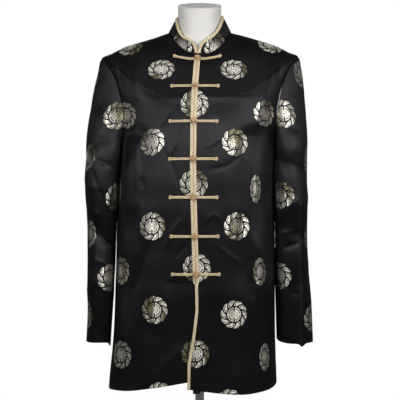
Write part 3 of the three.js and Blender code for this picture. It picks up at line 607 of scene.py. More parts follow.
COLUMNS = {"front_right": 88, "front_left": 88, "back": 150}
CALM_ABOVE = {"front_right": 930, "front_left": 930, "back": 978}  # no creases near the collar
bare = {name: panel_grid(name, columns) for name, columns in COLUMNS.items()}
bare_normals = {name: grid_normals(grid) for name, grid in bare.items()}
whole = np.concatenate([grid.reshape(-1, 3) for grid in bare.values()])
whole_normals = np.concatenate([normals.reshape(-1, 3) for normals in bare_normals.values()])
panels = {}
for name, grid in bare.items():
    move = crease_offset(grid, "body", whole, whole_normals) + wobble(grid, 3, 0.9)
    calm_top = smooth((CALM_ABOVE[name] - grid[..., 2]) / 60)
    off_side = smooth((150 - np.abs(grid[..., 0] + 8)) / 20)
    over_arm = smooth((grid[..., 2] - 700) / 30)
    move *= calm_top * np.maximum(np.maximum(off_side, over_arm), 0.25)
    panels[name] = grid + bare_normals[name] * move[..., None]
panel_normals = {name: grid_normals(grid) for name, grid in panels.items()}


# ---- Sleeves ----
SLEEVE_ROWS = np.concatenate([np.linspace(0, 0.12, 26)[:-1], np.linspace(0.12, 1, 175)])


def armhole_loop(side):
    """The armhole's edge from the shoulder down the front and up the back, and its normals."""
    front, column, back_column = ("front_right", 0, -1) if side < 0 else ("front_left", -1, 0)
    down = range(FIRST_ARM + ARM_STEPS, FIRST_ARM, -1)
    up = range(FIRST_ARM, FIRST_ARM + ARM_STEPS)
    return (
        np.array([g[front][r, column] for r in down] + [g["back"][r, back_column] for r in up])
        for g in (panels, panel_normals)
    )


def body_reach(side, y, z):
    """How far out the body's side lies."""
    s = row_at(SECTIONS, "level", level_of(QUARTER, z))
    share = np.abs(y) / np.where(y < 0, s["front"], s["back"])
    rest = np.maximum(1 - share ** s["square"], 0) ** (1 / s["square"])
    return np.where(share < 1, side * s["shift"] + s["half"] * rest, 0)


def cuff_height(cuff, turn):
    low = (1 - np.cos(turn)) / 2
    side = np.where(np.sin(turn) > 0, cuff["front"], cuff["back"])
    ends = cuff["outer"] * (1 - low) + cuff["inner"] * low
    tip = cuff["tip"] * bump(turn - math.radians(72), math.radians(8))
    return ends + (side - ends) * np.sin(turn) ** 2 - tip


def sleeve_folds(folds, turn, z):
    total = np.zeros(z.shape)
    for at, tilt, angle, spread, high, deep in folds:
        away = np.mod(np.degrees(turn) - angle + 180, 360) - 180
        over = crest(z - at - tilt * away / spread, 0.8 * high)
        total = total + deep * bump(away, spread) * over
    return total


def sleeve_grid(sleeve):
    """Rows from the armhole to the cuff. turn is 0 on the outer side and grows to the front."""
    loop, normals = armhole_loop(sleeve["side"])
    turn = (np.arange(len(loop)) / len(loop) * 2 * np.pi)[None, :]
    start = (loop + normals * LAP)[None, :, :]
    share = SLEEVE_ROWS[:, None]
    low = (1 - np.cos(turn)) / 2
    cuff_z = cuff_height(sleeve["cuff"], turn)
    z = start[..., 2] * (1 - share) + cuff_z * share
    drop = start[..., 2] - z
    reach = sleeve["reach"] * (1 - low) + 45 * low
    blend = np.where(drop < reach, 1 - (1 - drop / reach) ** 2, 1)
    place = row_at(sleeve["hang"], "z", z)
    centre, half = (place["outer"] + place["inner"]) / 2, (place["outer"] - place["inner"]) / 2
    depth = np.where(np.sin(turn) > 0, place["front"], place["back"])
    across = (np.abs(np.cos(turn)) / half) ** SLEEVE_SQUARE
    along = (np.abs(np.sin(turn)) / depth) ** SLEEVE_SQUARE
    radius = (across + along) ** (-1 / SLEEVE_SQUARE)
    fold = sleeve_folds(sleeve["folds"], turn, z) * smooth(drop / 60) * smooth((z - cuff_z) / 40)
    out = centre + (radius + fold) * np.cos(turn)
    out = sleeve["side"] * start[..., 0] * (1 - blend) + out * blend
    y = start[..., 1] * (1 - blend) - (radius + fold) * np.sin(turn) * blend
    clear = LAP + (SLEEVE_CLEAR - LAP) * smooth(drop / 25)
    pushed = soft_max(out, body_reach(sleeve["side"], y, z) + clear, np.minimum(drop / 6, 4))
    out = np.where((z < 760) & (drop > 0), pushed, out)
    return np.stack([sleeve["side"] * out, y, z], axis=-1), normals, drop


sleeves = {}
for number, (name, sleeve) in enumerate(SLEEVES.items()):
    grid, edge_normals, drop = sleeve_grid(sleeve)
    normals = grid_normals(grid, tube=True) * sleeve["side"]
    normals[0] = edge_normals
    move = crease_offset(grid, name, grid, normals) + wobble(grid, 11 + number, 0.8)
    out = sleeve["side"] * grid[..., 0]
    off_body, off_outside = smooth((out - 176) / 12), smooth((249 - out) / 10)
    move *= smooth(drop / 40) * np.maximum(off_body, 0.1) * np.maximum(off_outside, 0.35)
    sleeves[name] = grid + normals * move[..., None]


# ---- How the cloth was cut: its own flat coordinates ----
def lay_flat(points, normals, upper):
    """(across, up) in millimetres for every point of an open grid, fitted to its weave.
    Above the height called upper, a horizontal thread follows X and not the girth."""
    rows = np.unique(np.linspace(0, points.shape[0] - 1, 46).round().astype(int))
    columns = np.unique(np.linspace(0, points.shape[1] - 1, 25).round().astype(int))
    p, n = points[np.ix_(rows, columns)], normals[np.ix_(rows, columns)]
    level = np.cross([0, 0, 1.0], n)
    straight = -np.sign(n[..., 1:2] + 1e-9) * (np.array([1.0, 0, 0]) - n[..., :1] * n)
    share = smooth((p[..., 2:3] - upper) / 110)
    across = unit(unit(level) * (1 - share) + unit(straight) * share)
    up = unit(np.cross(n, across))
    index = np.arange(p.shape[0] * p.shape[1]).reshape(p.shape[:2])
    a = np.concatenate([index[:, :-1].ravel(), index[:-1].ravel()])
    b = np.concatenate([index[:, 1:].ravel(), index[1:].ravel()])
    flat = p.reshape(-1, 3)
    step = flat[b] - flat[a]
    weight = 1 / np.maximum((step**2).sum(axis=1), 1)
    system = np.zeros((index.size, index.size))
    for place, share in (((a, a), weight), ((b, b), weight), ((a, b), -weight), ((b, a), -weight)):
        np.add.at(system, place, share)
    system[0, 0] += 1

    def fitted(way):
        wanted = ((way[a] + way[b]) / 2 * step).sum(axis=1) * weight
        right = np.zeros(index.size)
        np.add.at(right, b, wanted)
        np.add.at(right, a, -wanted)
        found = np.linalg.solve(system, right).reshape(p.shape[:2])
        wide = np.array([np.interp(np.arange(points.shape[1]), columns, row) for row in found])
        return np.array([np.interp(np.arange(len(points)), rows, column) for column in wide.T]).T

    return np.stack([fitted(way.reshape(-1, 3)) for way in (across, up)], axis=-1)


def through(seen, wanted, flat_share, value):
    """Moves value so that each place in seen comes to its own in wanted. What lies within WHOLE of
    it goes along, and the cloth between is drawn together or let out."""
    order = np.argsort(seen)
    ends = np.array([-WHOLE, WHOLE])
    xs = (seen[order][:, None] + flat_share[order][:, None] * ends).ravel()
    ys = (wanted[order][:, None] + ends).ravel()
    return np.interp(value, np.r_[xs[0] - 9, xs, xs[-1] + 9], np.r_[ys[0] - 9, ys, ys[-1] + 9])


def placed(flat, points, normals, name):
    """The cloth's flat places, moved so that each roundel listed for the piece lies at its own."""
    side, roundels = ROUNDELS[name]
    facing = normals[..., 1] < -0.3 if side == "front" else normals[..., 1] > 0.3
    unit_step = np.array([LATTICE_ACROSS, LATTICE_UP / 2])
    steps = flat / unit_step
    spots = []
    for x, z, *_ in roundels:
        beside = np.stack([x - points[..., 0], z - points[..., 2]], axis=-1)
        gap = np.where(facing, (beside**2).sum(axis=-1), np.inf)
        at = np.unravel_index(gap.argmin(), facing.shape)
        spots.append(steps[at] + beside[at] / unit_step)
    steps, spots = steps - spots[0], np.array(spots) - spots[0]
    across, up = steps[..., 0], steps[..., 1]
    columns, rows, flat_share = np.array(roundels)[:, 2:].T
    far = np.abs(columns) == 2

    def shift_at(row, chosen):
        known = sorted(zip(rows[chosen], (spots[:, 1] - rows)[chosen])) or [(0, 0)]
        return np.interp(row, *np.array(known).T)

    def line_of(row):
        """Where a row of roundels lies up the smooth cloth: straight past its own roundels."""
        shift = shift_at(row, ~far & (rows % 2 == row % 2))
        out = shift_at(row, far) if far.any() else shift
        start, reach = (WHOLE, 1.05) if row % 2 == 0 else (1.3, 0.75)
        return row + shift + (out - shift) * smooth((np.abs(across) - start) / reach)

    def tall_of(row):
        return WHOLE * (CHEST_SHARE if row == CHEST_ROW else 1)

    first, last = int(rows.min()), int(rows.max())
    raised = first - WHOLE + np.minimum(up - (line_of(first) - WHOLE), 0)
    for row in range(first, last + 1):
        tall = tall_of(row)
        over = up - line_of(row) - tall
        raised += 2 * WHOLE * np.clip((over + 2 * tall) / (2 * tall), 0, 1)
        if row < last:
            gap = line_of(row + 1) - tall_of(row + 1) - line_of(row) - tall
            raised += (1 - 2 * WHOLE) * np.clip(over / np.maximum(gap, LEAST_GAP), 0, 1)
        else:
            raised += np.maximum(over, 0)

    moved = np.zeros(across.shape)
    for row in range(int(np.floor(raised.min())), int(np.ceil(raised.max())) + 1):
        here = rows == row
        weight = smooth((0.5 - np.abs(raised - row)) / (1 - 2 * WHOLE) + 0.5)
        if here.any():
            moved += weight * through(spots[here, 0], columns[here], flat_share[here], across)
        else:
            moved += weight * across
    return np.stack([moved, raised], axis=-1) * unit_step


# ---- Meshes ----
made = {}


def make_object(name, parts, materials):
    """One smooth object from parts of (points in mm, faces, each face's corners in the weave),
    and the number of the material, if it isn't the first."""
    points, faces, places, which, at = [], [], [], [], 0
    for part_points, part_faces, part_places, *number in parts:
        points.append(np.asarray(part_points, float).reshape(-1, 3))
        which += [number[0] if number else 0] * len(part_faces)
        faces += [[int(i) + at for i in face] for face in part_faces]
        places += [place for face in part_places for place in face]
        at += len(points[-1])
    mesh = bpy.data.meshes.new(name)
    mesh.from_pydata((np.concatenate(points) * MM).tolist(), [], faces)
    mesh.update()
    mesh.polygons.foreach_set("use_smooth", np.ones(len(mesh.polygons), bool))
    mesh.polygons.foreach_set("material_index", which)
    layer = mesh.uv_layers.new(name="weave")
    layer.data.foreach_set("uv", (np.array(places, float) * MM).ravel().astype(np.float32))
    for material in materials:
        mesh.materials.append(material)
    obj = bpy.data.objects.new(name, mesh)
    scene.collection.objects.link(obj)
    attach(obj, "root")
    made[name] = obj


def grid_part(grid, flat, tube=False, reverse=False):
    """A grid of points. On a tube, flat has one column more than the grid."""
    index = np.arange(grid.shape[0] * grid.shape[1]).reshape(grid.shape[:2])
    if tube:
        index = np.concatenate([index, index[:, :1]], axis=1)
    corners = [(v[:-1, :-1], v[:-1, 1:], v[1:, 1:], v[1:, :-1]) for v in (index, flat)]
    corner, place = (c[::-1] if reverse else c for c in corners)
    faces = np.stack([c.ravel() for c in corner], axis=1)
    places = np.stack([p.reshape(-1, 2) for p in place], axis=1)
    return grid.reshape(-1, 3), faces, places


def add_cloth(name, part, thick, materials):
    make_object(name, [part], materials)
    solid = made[name].modifiers.new("cloth", "SOLIDIFY")
    solid.thickness = thick * MM
    solid.offset = 0
    solid.material_offset = len(materials) - 1


def tube_part(rings, closed=False):
    """A tube through rings of points, whose weave runs (round it, along it)."""
    rings = np.asarray(rings, float)
    if closed:
        rings = np.concatenate([rings, rings[:1]])
    count, size = rings.shape[:2]
    along = run_along(rings.mean(axis=1))
    girth = np.linalg.norm(rings[0] - np.roll(rings[0], -1, axis=0), axis=1).sum()
    around = np.arange(size + 1) / size * girth
    flat = np.stack(np.broadcast_arrays(around[None, :], along[:, None]), -1)
    points, faces, places = grid_part(rings, flat, tube=True)
    faces, places = faces.tolist(), places.tolist()
    if not closed:
        faces += [list(range(size))[::-1], [size * (count - 1) + i for i in range(size)]]
        places += [[[0, 0]] * size, [[0, along[-1]]] * size]
    return points, faces, places


def cord_part(path, radius, sides=8, closed=False, up=(0.03, 0.05, 1)):
    path = np.asarray(path, float)
    if closed:
        along = unit(np.roll(path, -1, axis=0) - np.roll(path, 1, axis=0))
    else:
        along = unit(np.gradient(path, axis=0))
    first = unit(np.cross(along, np.broadcast_to(np.asarray(up, float), along.shape)))
    second = np.cross(first, along)
    angle = round_angles(sides)[None, :, None]
    ring = first[:, None, :] * np.cos(angle) + second[:, None, :] * np.sin(angle)
    return tube_part(path[:, None, :] + ring * radius, closed)


def lathe_part(profile, sides, centre, tilt=0.0):
    """Profile of (radius, height) turned about Z, tilted about X."""
    angle = round_angles(sides)[None, :]
    radius, height = (np.array(profile, float)[:, i : i + 1] for i in (0, 1))
    x, y, z = radius * np.sin(angle), -radius * np.cos(angle), height + 0 * angle
    sin, cos = math.sin(tilt), math.cos(tilt)
    turned = np.stack([x, y * cos - z * sin, y * sin + z * cos], axis=-1)
    return tube_part(turned + np.asarray(centre, float))


def rounded(profile, radius):
    """A profile with its inner corners rounded."""
    points = [np.array(p, float) for p in profile]
    out = [points[0]]
    for before, corner, after in zip(points, points[1:], points[2:]):
        sides = before - corner, after - corner
        reach = min(radius, *(np.linalg.norm(side) / 2.2 for side in sides))
        a, b = (corner + side / np.linalg.norm(side) * reach for side in sides)
        for t in np.linspace(0, 1, 5):
            out.append(a * (1 - t) ** 2 + corner * 2 * t * (1 - t) + b * t * t)
    return out + [points[-1]]


# ---- Materials ----
def feed(tree, target, value):
    """Links a Term or a socket to an input, or sets the input to a value."""
    value = getattr(value, "socket", value)
    if isinstance(value, bpy.types.NodeSocket):
        tree.links.new(value, target)
    else:
        target.default_value = value


def add_node(tree, kind, inputs, **settings):
    node = tree.nodes.new(kind)
    for name, value in settings.items():
        setattr(node, name, value)
    for name, value in inputs.items():
        feed(tree, node.inputs[name], value)
    return node


class Term:
    """A socket that arithmetic makes Math nodes from."""

    def __init__(self, tree, socket):
        self.tree, self.socket = tree, socket

    def math(self, operation, *others, clamp=False):
        inputs = dict(enumerate((self, *others)))
        node = add_node(
            self.tree, "ShaderNodeMath", inputs, operation=operation, use_clamp=clamp
        )
        return Term(self.tree, node.outputs[0])

    def __add__(self, other):
        return self.math("ADD", other)

    def __mul__(self, other):
        return self.math("MULTIPLY", other)

    def __sub__(self, other):
        return self.math("SUBTRACT", other)

    def __rsub__(self, other):
        return self.math("MULTIPLY", -1).math("ADD", other)

    def __truediv__(self, other):
        return self.math("DIVIDE", other)

    def __abs__(self):
        return self.math("ABSOLUTE")

    def above(self, edge, soft):
        """0 below edge - soft, 1 above edge + soft. edge is a number or a Term."""
        inputs = {"Value": self - edge, "From Min": -soft, "From Max": soft}
        kind = "ShaderNodeMapRange"
        node = add_node(self.tree, kind, inputs, interpolation_type="SMOOTHSTEP")
        return Term(self.tree, node.outputs["Result"])

    def below(self, edge, soft):
        return 1 - self.above(edge, soft)

    def near(self, place, half):
        """1 on a line in the weave, half wide either side of place."""
        return abs(self - place).below(half, 0.012)

    def wave(self, length):
        return (self * (TURN / length)).math("SINE")

    def clamped(self):
        return self.math("ADD", 0.0, clamp=True)


def start_material(name):
    material = bpy.data.materials.new(name)
    material.use_nodes = True
    return material, material.node_tree


def dress(tree, inputs, height=None):
    """Feeds the Principled shader's inputs, and its normal from a height in millimetres."""
    if height is not None:
        bump_inputs = {"Strength": 1.0, "Distance": MM, "Height": height}
        inputs["Normal"] = add_node(tree, "ShaderNodeBump", bump_inputs).outputs[0]
    for name, value in inputs.items():
        feed(tree, tree.nodes["Principled BSDF"].inputs[name], value)


def weave_place(tree):
    """The cloth's own coordinates: as a vector in metres, and (across, up) in millimetres."""
    vector = add_node(tree, "ShaderNodeUVMap", {}, uv_map="weave").outputs[0]
    split = add_node(tree, "ShaderNodeSeparateXYZ", {0: vector})
    return vector, Term(tree, split.outputs[0]) * 1000, Term(tree, split.outputs[1]) * 1000


def object_place(tree):
    return tree.nodes.new("ShaderNodeTexCoord").outputs["Object"]


def noise(tree, vector, scale, detail=2.0):
    """Noise of one scale, or of one for each axis."""
    if isinstance(scale, tuple):
        vector = add_node(tree, "ShaderNodeMapping", {0: vector, "Scale": scale}).outputs[0]
        scale = 1.0
    inputs = {"Vector": vector, "Scale": scale, "Detail": detail, "Roughness": 0.5}
    return Term(tree, add_node(tree, "ShaderNodeTexNoise", inputs).outputs[0])


def mix_colour(tree, share, a, b):
    """a where share is 0 and b where it is 1. The Mix node's colour sockets are 6, 7 and 2."""
    a, b = ((*colour, 1) if isinstance(colour, tuple) else colour for colour in (a, b))
    return add_node(tree, "ShaderNodeMix", {0: share, 6: a, 7: b}, data_type="RGBA").outputs[2]


def roundel(across, up):
    """1 where metal thread shows in the woven roundels, 0 on the ground. Sizes are shares of the
    roundel's radius: an inner disc of arcs and bars, round it ten curling lobes."""
    column = (across / LATTICE_ACROSS).math("ROUND")
    x = (across - column * LATTICE_ACROSS) / ROUNDEL_RADIUS
    raised = up / LATTICE_UP + column.math("FLOORED_MODULO", 2) * 0.5
    y = (raised - raised.math("ROUND")) * (LATTICE_UP / ROUNDEL_RADIUS)
    r = (x * x + y * y).math("SQRT")
    angle = y.math("ARCTAN2", x)
    lobes, disc = 10, 0.575
    out = r - 0.58
    place = (angle * (lobes / TURN) + out * out * 2.6 + out * 0.5 + 0.15).math("FRACT")
    side = abs(place - 0.5) * 2  # 1 between two lobes, 0 in the middle of one
    shown = r.below(1.0 - side * side * 0.09, 0.02)
    between = side.above(0.87 - r * 0.14, 0.04) * r.above(0.60, 0.01)
    teeth = side.above(1 - (0.82 - r) * 3, 0.06) * r.above(disc, 0.012) * r.below(0.82, 0.01)
    notch = side.below((0.71 - r) * 3, 0.05) * r.above(disc, 0.012) * r.below(0.71, 0.01)
    rim = r.near(0.56, 0.040)
    a, b = (place - 0.52) * 0.5, r - 0.81
    curl = (a * a + b * b).math("SQRT").near(0.105, 0.036) * (a + b * 0.5).above(-0.03, 0.02)
    inner_ring = r.near(0.41, 0.040) * abs(x).above(0.1, 0.02) * abs(y).above(0.07, 0.02)
    arc = r.near(0.23, 0.03) * abs(x).above(0.1, 0.02)
    stem = x.near(0, 0.055) * abs(y).above(0.24, 0.01) * r.below(0.62, 0.01)
    bars = y.near(0, 0.025) * abs(x).below(0.13, 0.01)
    lines = between
    for line in (teeth, notch, rim, curl * 0.9, inner_ring * 0.9, arc * 0.7, stem, bars * 0.7):
        lines = lines.math("MAXIMUM", line)
    return shown * (1 - lines)


def brocade():
    material, tree = start_material("satin_brocade")
    vector, across, up = weave_place(tree)
    mask = roundel(across, up)
    cloud = noise(tree, vector, 14, 3)
    slub = noise(tree, vector, (420, 60, 1))
    # The metal thread's colour is painted in long vertical bands of bright cream and dim olive:
    # painted highlights and painted shade that stand in for glints off small folds.
    painted_glint_bands = noise(tree, vector, (24, 5, 1)).above(0.46, 0.07)
    ground = mix_colour(tree, cloud, (0.0026, 0.0023, 0.0028), (0.0048, 0.0043, 0.0053))
    thread_painted_glints = mix_colour(tree, painted_glint_bands, (0.21, 0.19, 0.11), (0.99, 0.96, 0.86))
    # Random slubs dull the thread towards olive as wear, on top of its painted highlights and
    # shade.
    thread_glints_and_wear = mix_colour(tree, slub * 0.35, thread_painted_glints, (0.20, 0.18, 0.11))
    # The warp floats of the ground run up the cloth and spread light across it, and the weft
    # floats of the roundels run across it and spread light up and down.
    tangent = add_node(tree, "ShaderNodeTangent", {}, direction_type="UV_MAP", uv_map="weave")
    floats = across.wave(0.5) * 0.006 * (1 - mask) + up.wave(0.6) * 0.012 * mask
    inputs = {
        "Base Color": mix_colour(tree, mask, ground, thread_glints_and_wear),
        "Metallic": mask * 0.92,
        "Roughness": (cloud - 0.5) * 0.08 + 0.53 - mask * 0.06,
        "Tangent": tangent.outputs[0],
        "Anisotropic": 0.76,
        "Anisotropic Rotation": mask * 0.25,
        "Specular IOR Level": 0.25,
        "Specular Tint": (0.96, 0.93, 1.0, 1),
    }
    dress(tree, inputs, floats + mask * 0.12 + slub * 0.01)
    return material


def lining():
    material, tree = start_material("lining")
    vector, across, up = weave_place(tree)
    cloud = noise(tree, vector, 30, 3)
    colour = mix_colour(tree, cloud, (0.010, 0.0095, 0.011), (0.018, 0.017, 0.019))
    inputs = {"Base Color": colour, "Roughness": (cloud - 0.5) * 0.1 + 0.45}
    dress(tree, inputs, (across + up).wave(0.9) * 0.012)
    return material


def gold_cloth():
    material, tree = start_material("gold_binding")
    vector, across, up = weave_place(tree)
    cloud = noise(tree, vector, 60, 3)
    rib = (up + across * 0.6).wave(1.6)
    pick = up.wave(6.6) * across.wave(5)
    tone = (rib * 0.2 + pick * 0.8 + cloud * 0.9).clamped()
    colour = mix_colour(tree, tone, (0.44, 0.32, 0.16), (0.99, 0.88, 0.64))
    rough = (cloud - 0.5) * 0.12 + 0.42
    inputs = {"Base Color": colour, "Roughness": rough, "Metallic": 0.05}
    dress(tree, inputs, rib * 0.09 + pick * 0.25 + cloud * 0.08)
    return material


def gold_cord(name, low, high):
    material, tree = start_material(name)
    vector, around, along = weave_place(tree)
    cloud = noise(tree, vector, 90)
    ply = (along + around * 0.55).wave(2.0)
    colour = mix_colour(tree, (ply * 0.3 + cloud * 0.9).clamped(), low, high)
    rough = (cloud - 0.5) * 0.12 + 0.40
    inputs = {"Base Color": colour, "Roughness": rough, "Metallic": 0.05}
    dress(tree, inputs, ply * 0.16 + cloud * 0.06)
    return material


def form_shell():
    material, tree = start_material("form_shell")
    cloud = noise(tree, object_place(tree), 9, 4)
    grain = noise(tree, object_place(tree), 900)
    colour = mix_colour(tree, cloud, (0.70, 0.68, 0.655), (0.75, 0.735, 0.715))
    inputs = {"Base Color": colour, "Roughness": (grain - 0.5) * 0.1 + 0.55}
    dress(tree, inputs, grain * 0.05 + cloud * 0.2)
    return material


def brushed_steel():
    material, tree = start_material("brushed_steel")
    grain = noise(tree, object_place(tree), (900, 900, 40), 3)
    colour = mix_colour(tree, grain, (0.50, 0.50, 0.51), (0.62, 0.62, 0.63))
    rough = (grain - 0.5) * 0.12 + 0.34
    dress(tree, {"Base Color": colour, "Roughness": rough, "Metallic": 0.95}, grain * 0.02)
    return material


BROCADE, LINING, BINDING = brocade(), lining(), gold_cloth()
CORD = gold_cord("gold_cord", (0.52, 0.365, 0.19), (0.97, 0.80, 0.55))
# The knots and loop rings take a deeper, more orange gold: partly the knots' own tone, partly
# painted shade round the knots.
CORD_KNOT_SHADED = gold_cord("gold_cord_knot_shaded", (0.36, 0.21, 0.095), (0.93, 0.68, 0.40))
# Near-black cord for the knot's core: painted shade between the braid's strands.
CORD_PAINTED_SHADE = gold_cord("gold_cord_painted_shade", (0.035, 0.018, 0.008), (0.08, 0.04, 0.018))
SHELL, STEEL = form_shell(), brushed_steel()

# ---- Panels and sleeves ----
SHOULDER_WEAVE = 680  # above it a panel's horizontal threads follow X
for name, grid in panels.items():
    flat = lay_flat(grid, panel_normals[name], SHOULDER_WEAVE)
    flat = placed(flat, grid, panel_normals[name], name)
    add_cloth(name, grid_part(grid, flat), CLOTH, [BROCADE, LINING])

for name, grid in sleeves.items():
    side = SLEEVES[name]["side"]
    grid = np.roll(grid, -(grid.shape[1] // 2), axis=1)
    normals = grid_normals(grid, tube=True) * side
    opened, opened_normals = (np.concatenate([v, v[:, :1]], axis=1) for v in (grid, normals))
    flat = placed(lay_flat(opened, opened_normals, np.inf), opened, opened_normals, name)
    part = grid_part(grid, flat, tube=True, reverse=side < 0)
    add_cloth(name, part, CLOTH, [BROCADE, LINING])

# ---- Collar ----
FOOT_GAP = 0.4
COLLAR_ROUNDEL = 48  # from the closing, along the collar, to the middle of its first roundel
STEP = 0.01  # for slopes


def neck_edge(turn, level=float(NECK)):
    return bell(turn, np.full(np.shape(turn), level))


def collar_foot(turn):
    down = unit(neck_edge(turn, NECK - 1.0) - neck_edge(turn))
    along = neck_edge(turn + 0.05) - neck_edge(turn - 0.05)
    normal = unit(-np.cross(along, down))
    return neck_edge(turn) + normal * (CLOTH / 2 + FOOT_GAP) + down * COLLAR_CLOTH / 2


def collar_point(turn, share):
    on_right = np.sin(turn)[..., None] < 0
    rim = np.where(on_right, on_section(COLLAR_RIGHT, turn), on_section(COLLAR_LEFT, turn))
    return collar_foot(turn) + (rim - collar_foot(turn)) * share[..., None]


closing_x, neck_front = CLOSING["left"][-1], SECTIONS["front"][-1]
collar_start = math.asin((closing_x + CLOSING_INSET) / neck_front)
collar_end = math.asin((closing_x - CLOSING_INSET) / neck_front) + TURN
corner = CORNER_TURN * (1 - np.cos(np.linspace(0, QUARTER, 19)[:-1]))
middle = np.linspace(collar_start + CORNER_TURN, collar_end - CORNER_TURN, 130)
turns = np.concatenate([collar_start + corner, middle, collar_end - corner[::-1]])
away = np.concatenate([corner, np.full(len(middle), CORNER_TURN), corner[::-1]])
inside = np.clip(1 - away / CORNER_TURN, 0, 1)
tall = CORNER_START + (1 - CORNER_START) * np.sqrt(1 - inside**2)
share = np.linspace(0, 1, 15)[:, None] * tall[None, :]
collar = collar_point(np.broadcast_to(turns, share.shape), share)

# The collar is cut in two halves that meet at the centre back. A roundel lies in each front.
from_start = run_along(collar[5])
from_end = np.minimum(from_start, from_start[-1] - from_start)
height = np.linalg.norm(collar - collar[:1], axis=-1)
collar_flat = np.broadcast_arrays(from_end - COLLAR_ROUNDEL, height - 8)
collar_part = grid_part(collar, np.stack(collar_flat, axis=-1))
add_cloth("collar", collar_part, COLLAR_CLOTH, [BROCADE, LINING])


# ---- Bindings and placket ----
def folded_part(point, normal, inner, inner_normal, thick):
    """A strip folded round an edge at point. inner lies on the same cloth, further in."""
    near = thick / 2 + 0.12
    far = near + BINDING_THICK
    wide = BINDING_WIDTH - BINDING_THICK - SEAM_GAP
    leg = ((wide, near), (wide, far - 0.25), (wide - 0.3, far), (2.5, far), (0.5, far))
    into = unit(inner - point)

    def leg_rings(sign):
        skin = point + normal * sign * thick / 2
        way = unit(inner + inner_normal * sign * thick / 2 - skin)
        return [point + way * a + normal * sign * h for a, h in leg]

    rings = leg_rings(1)
    for angle in np.radians([70, 40, 15, -15, -40, -70]):
        out = into * (SEAM_GAP + BINDING_THICK) * math.cos(angle)
        rings.append(point - out + normal * far * math.sin(angle))
    rings += leg_rings(-1)[::-1]
    rings += [point - into * 0.1 - normal * near, point - into * 0.1 + normal * near]
    return tube_part(np.stack(rings, axis=1)[:, ::-1])


def closing_edge(name, edge, inside):
    """The edge of a front from the hem up to just short of the collar's foot."""
    grid, normals = panels[name], panel_normals[name]
    from_top = np.linalg.norm(grid[:, edge] - grid[-1, edge], axis=1)
    keep = from_top > COLLAR_CLOTH + 4 * SEAM_GAP
    columns = grid[:, edge], normals[:, edge], grid[:, inside], normals[:, inside]
    return [column[keep] for column in columns]


right_edge = closing_edge("front_right", -1, -3)
left_edge = closing_edge("front_left", 0, 2)
for name, edge in (("binding_right", right_edge), ("binding_left", left_edge)):
    make_object(name, [folded_part(*edge, CLOTH)], [BINDING])

# Round the collar's corners the strip stays square to the edge, and it lies on the collar.
top, top_normal = collar[-1], grid_normals(collar)[-1]
top_into = unit(np.cross(np.gradient(top, axis=0), top_normal))
along_turn = (collar_point(turns + STEP, tall) - top) / STEP
along_share = (collar_point(turns, tall + STEP) - top) / STEP
across_turn, across_share = np.cross(top_normal, along_turn), np.cross(top_normal, along_share)
turned = turns + BINDING_WIDTH * (dot(top_into, across_share) / dot(along_turn, across_share))[:, 0]
shared = tall + BINDING_WIDTH * (dot(top_into, across_turn) / dot(along_share, across_turn))[:, 0]
inner = collar_point(turned, shared)
inner_along = collar_point(turned + STEP, shared) - inner
inner_normal = unit(np.cross(inner_along, collar_point(turned, shared + STEP) - inner))
strip = folded_part(top, top_normal, inner, inner_normal, COLLAR_CLOTH)
make_object("collar_binding", [strip], [BINDING])

point, normal, inner, _ = (v[right_edge[0][:, 2] < PLACKET_TOP] for v in right_edge)
into = unit(inner - point)
depth = CLOTH + 2 * SEAM_GAP + BINDING_THICK
rows = [point + into * a - normal * depth for a in np.linspace(0, PLACKET_WIDTH, 7)]
rows = np.stack(rows, axis=1)
hanging = rows[:1] - np.array([0, 0, 1.0]) * np.linspace(PLACKET_DROP, 3, 8)[:, None, None]
rows = np.concatenate([hanging, rows])[:, ::-1]
placket_across = np.linspace(20, 20 + PLACKET_WIDTH, 7)[None, :]
placket_flat = np.stack(np.broadcast_arrays(placket_across, rows[..., 2] * 0 + 30), axis=-1)
placket_part = grid_part(rows, placket_flat)
add_cloth("under_placket", placket_part, CLOTH, [LINING])

# ---- Frogs ----
STRAIGHT_STEPS = 26
WIDEST = STRAIGHT_STEPS + 2  # the point of an arm's path where its end is widest
TURNED_END = [(-7.2, -1.75), (-5.2, -2.5), (-3.4, -2.85), (-2.0, -2.2), (-1.45, 0)]
SKIN_FROM = 2.2  # from the closing, the nearest place where a front's skin is looked up
LOOP_RADIUS = BALL_RADIUS + SEAM_GAP + LOOP_CORD / 2
KNOT_CORD = 1.2  # radius of the knot's braided strands


def skin_at(name, x, z):
    """The front skin of a panel and its normal at each x and z."""
    front = panel_normals[name][..., 1] < -0.3
    points, normals = panels[name][front], panel_normals[name][front]
    near = nearest(points, x, z)
    p, n = points[near], normals[near]
    y = p[:, 1] - (n[:, 0] * (x - p[:, 0]) + n[:, 2] * (z - p[:, 2])) / n[:, 1]
    return np.stack([x, y, z], axis=1) + n * CLOTH / 2, n


def arm_path(panel, side, x, z, rise, stop):
    """A doubled cord from the closing out to its turned end and back."""
    half = STRAND / 2
    out = [(a, -half) for a in np.linspace(stop, FROG_REACH - 9, STRAIGHT_STEPS)]
    out += [(FROG_REACH + a, b) for a, b in TURNED_END]
    out += [(a, -b) for a, b in out[-2::-1]]
    away, across = np.array(out).T
    height = z + rise * (away / FROG_REACH) ** 2 + across
    skin, n = skin_at(panel, x + side * np.maximum(away, SKIN_FROM), height)
    skin[:, 0] = x + side * away
    lift = (BINDING_THICK + 0.2) * (1 - smooth((away - BINDING_WIDTH - 2) / 4))
    return skin + n * (lift + 0.15 + half)[:, None]


def ball_part(radius, centre):
    turn = np.radians([-89, -60, -30, 0, 30, 60, 89])
    return lathe_part(np.stack([radius * np.cos(turn), radius * np.sin(turn)], axis=1), 16, centre)


def add_frog(name, arm, parts, materials):
    """A cord arm with what it carries. Its own end, tucked in, fills the turned end."""
    tucked = ball_part(1.9, (arm[WIDEST] + arm[-WIDEST - 1]) / 2)
    parts = [cord_part(arm, STRAND / 2 * 0.97), *parts, tucked]
    make_object(name, parts, materials)


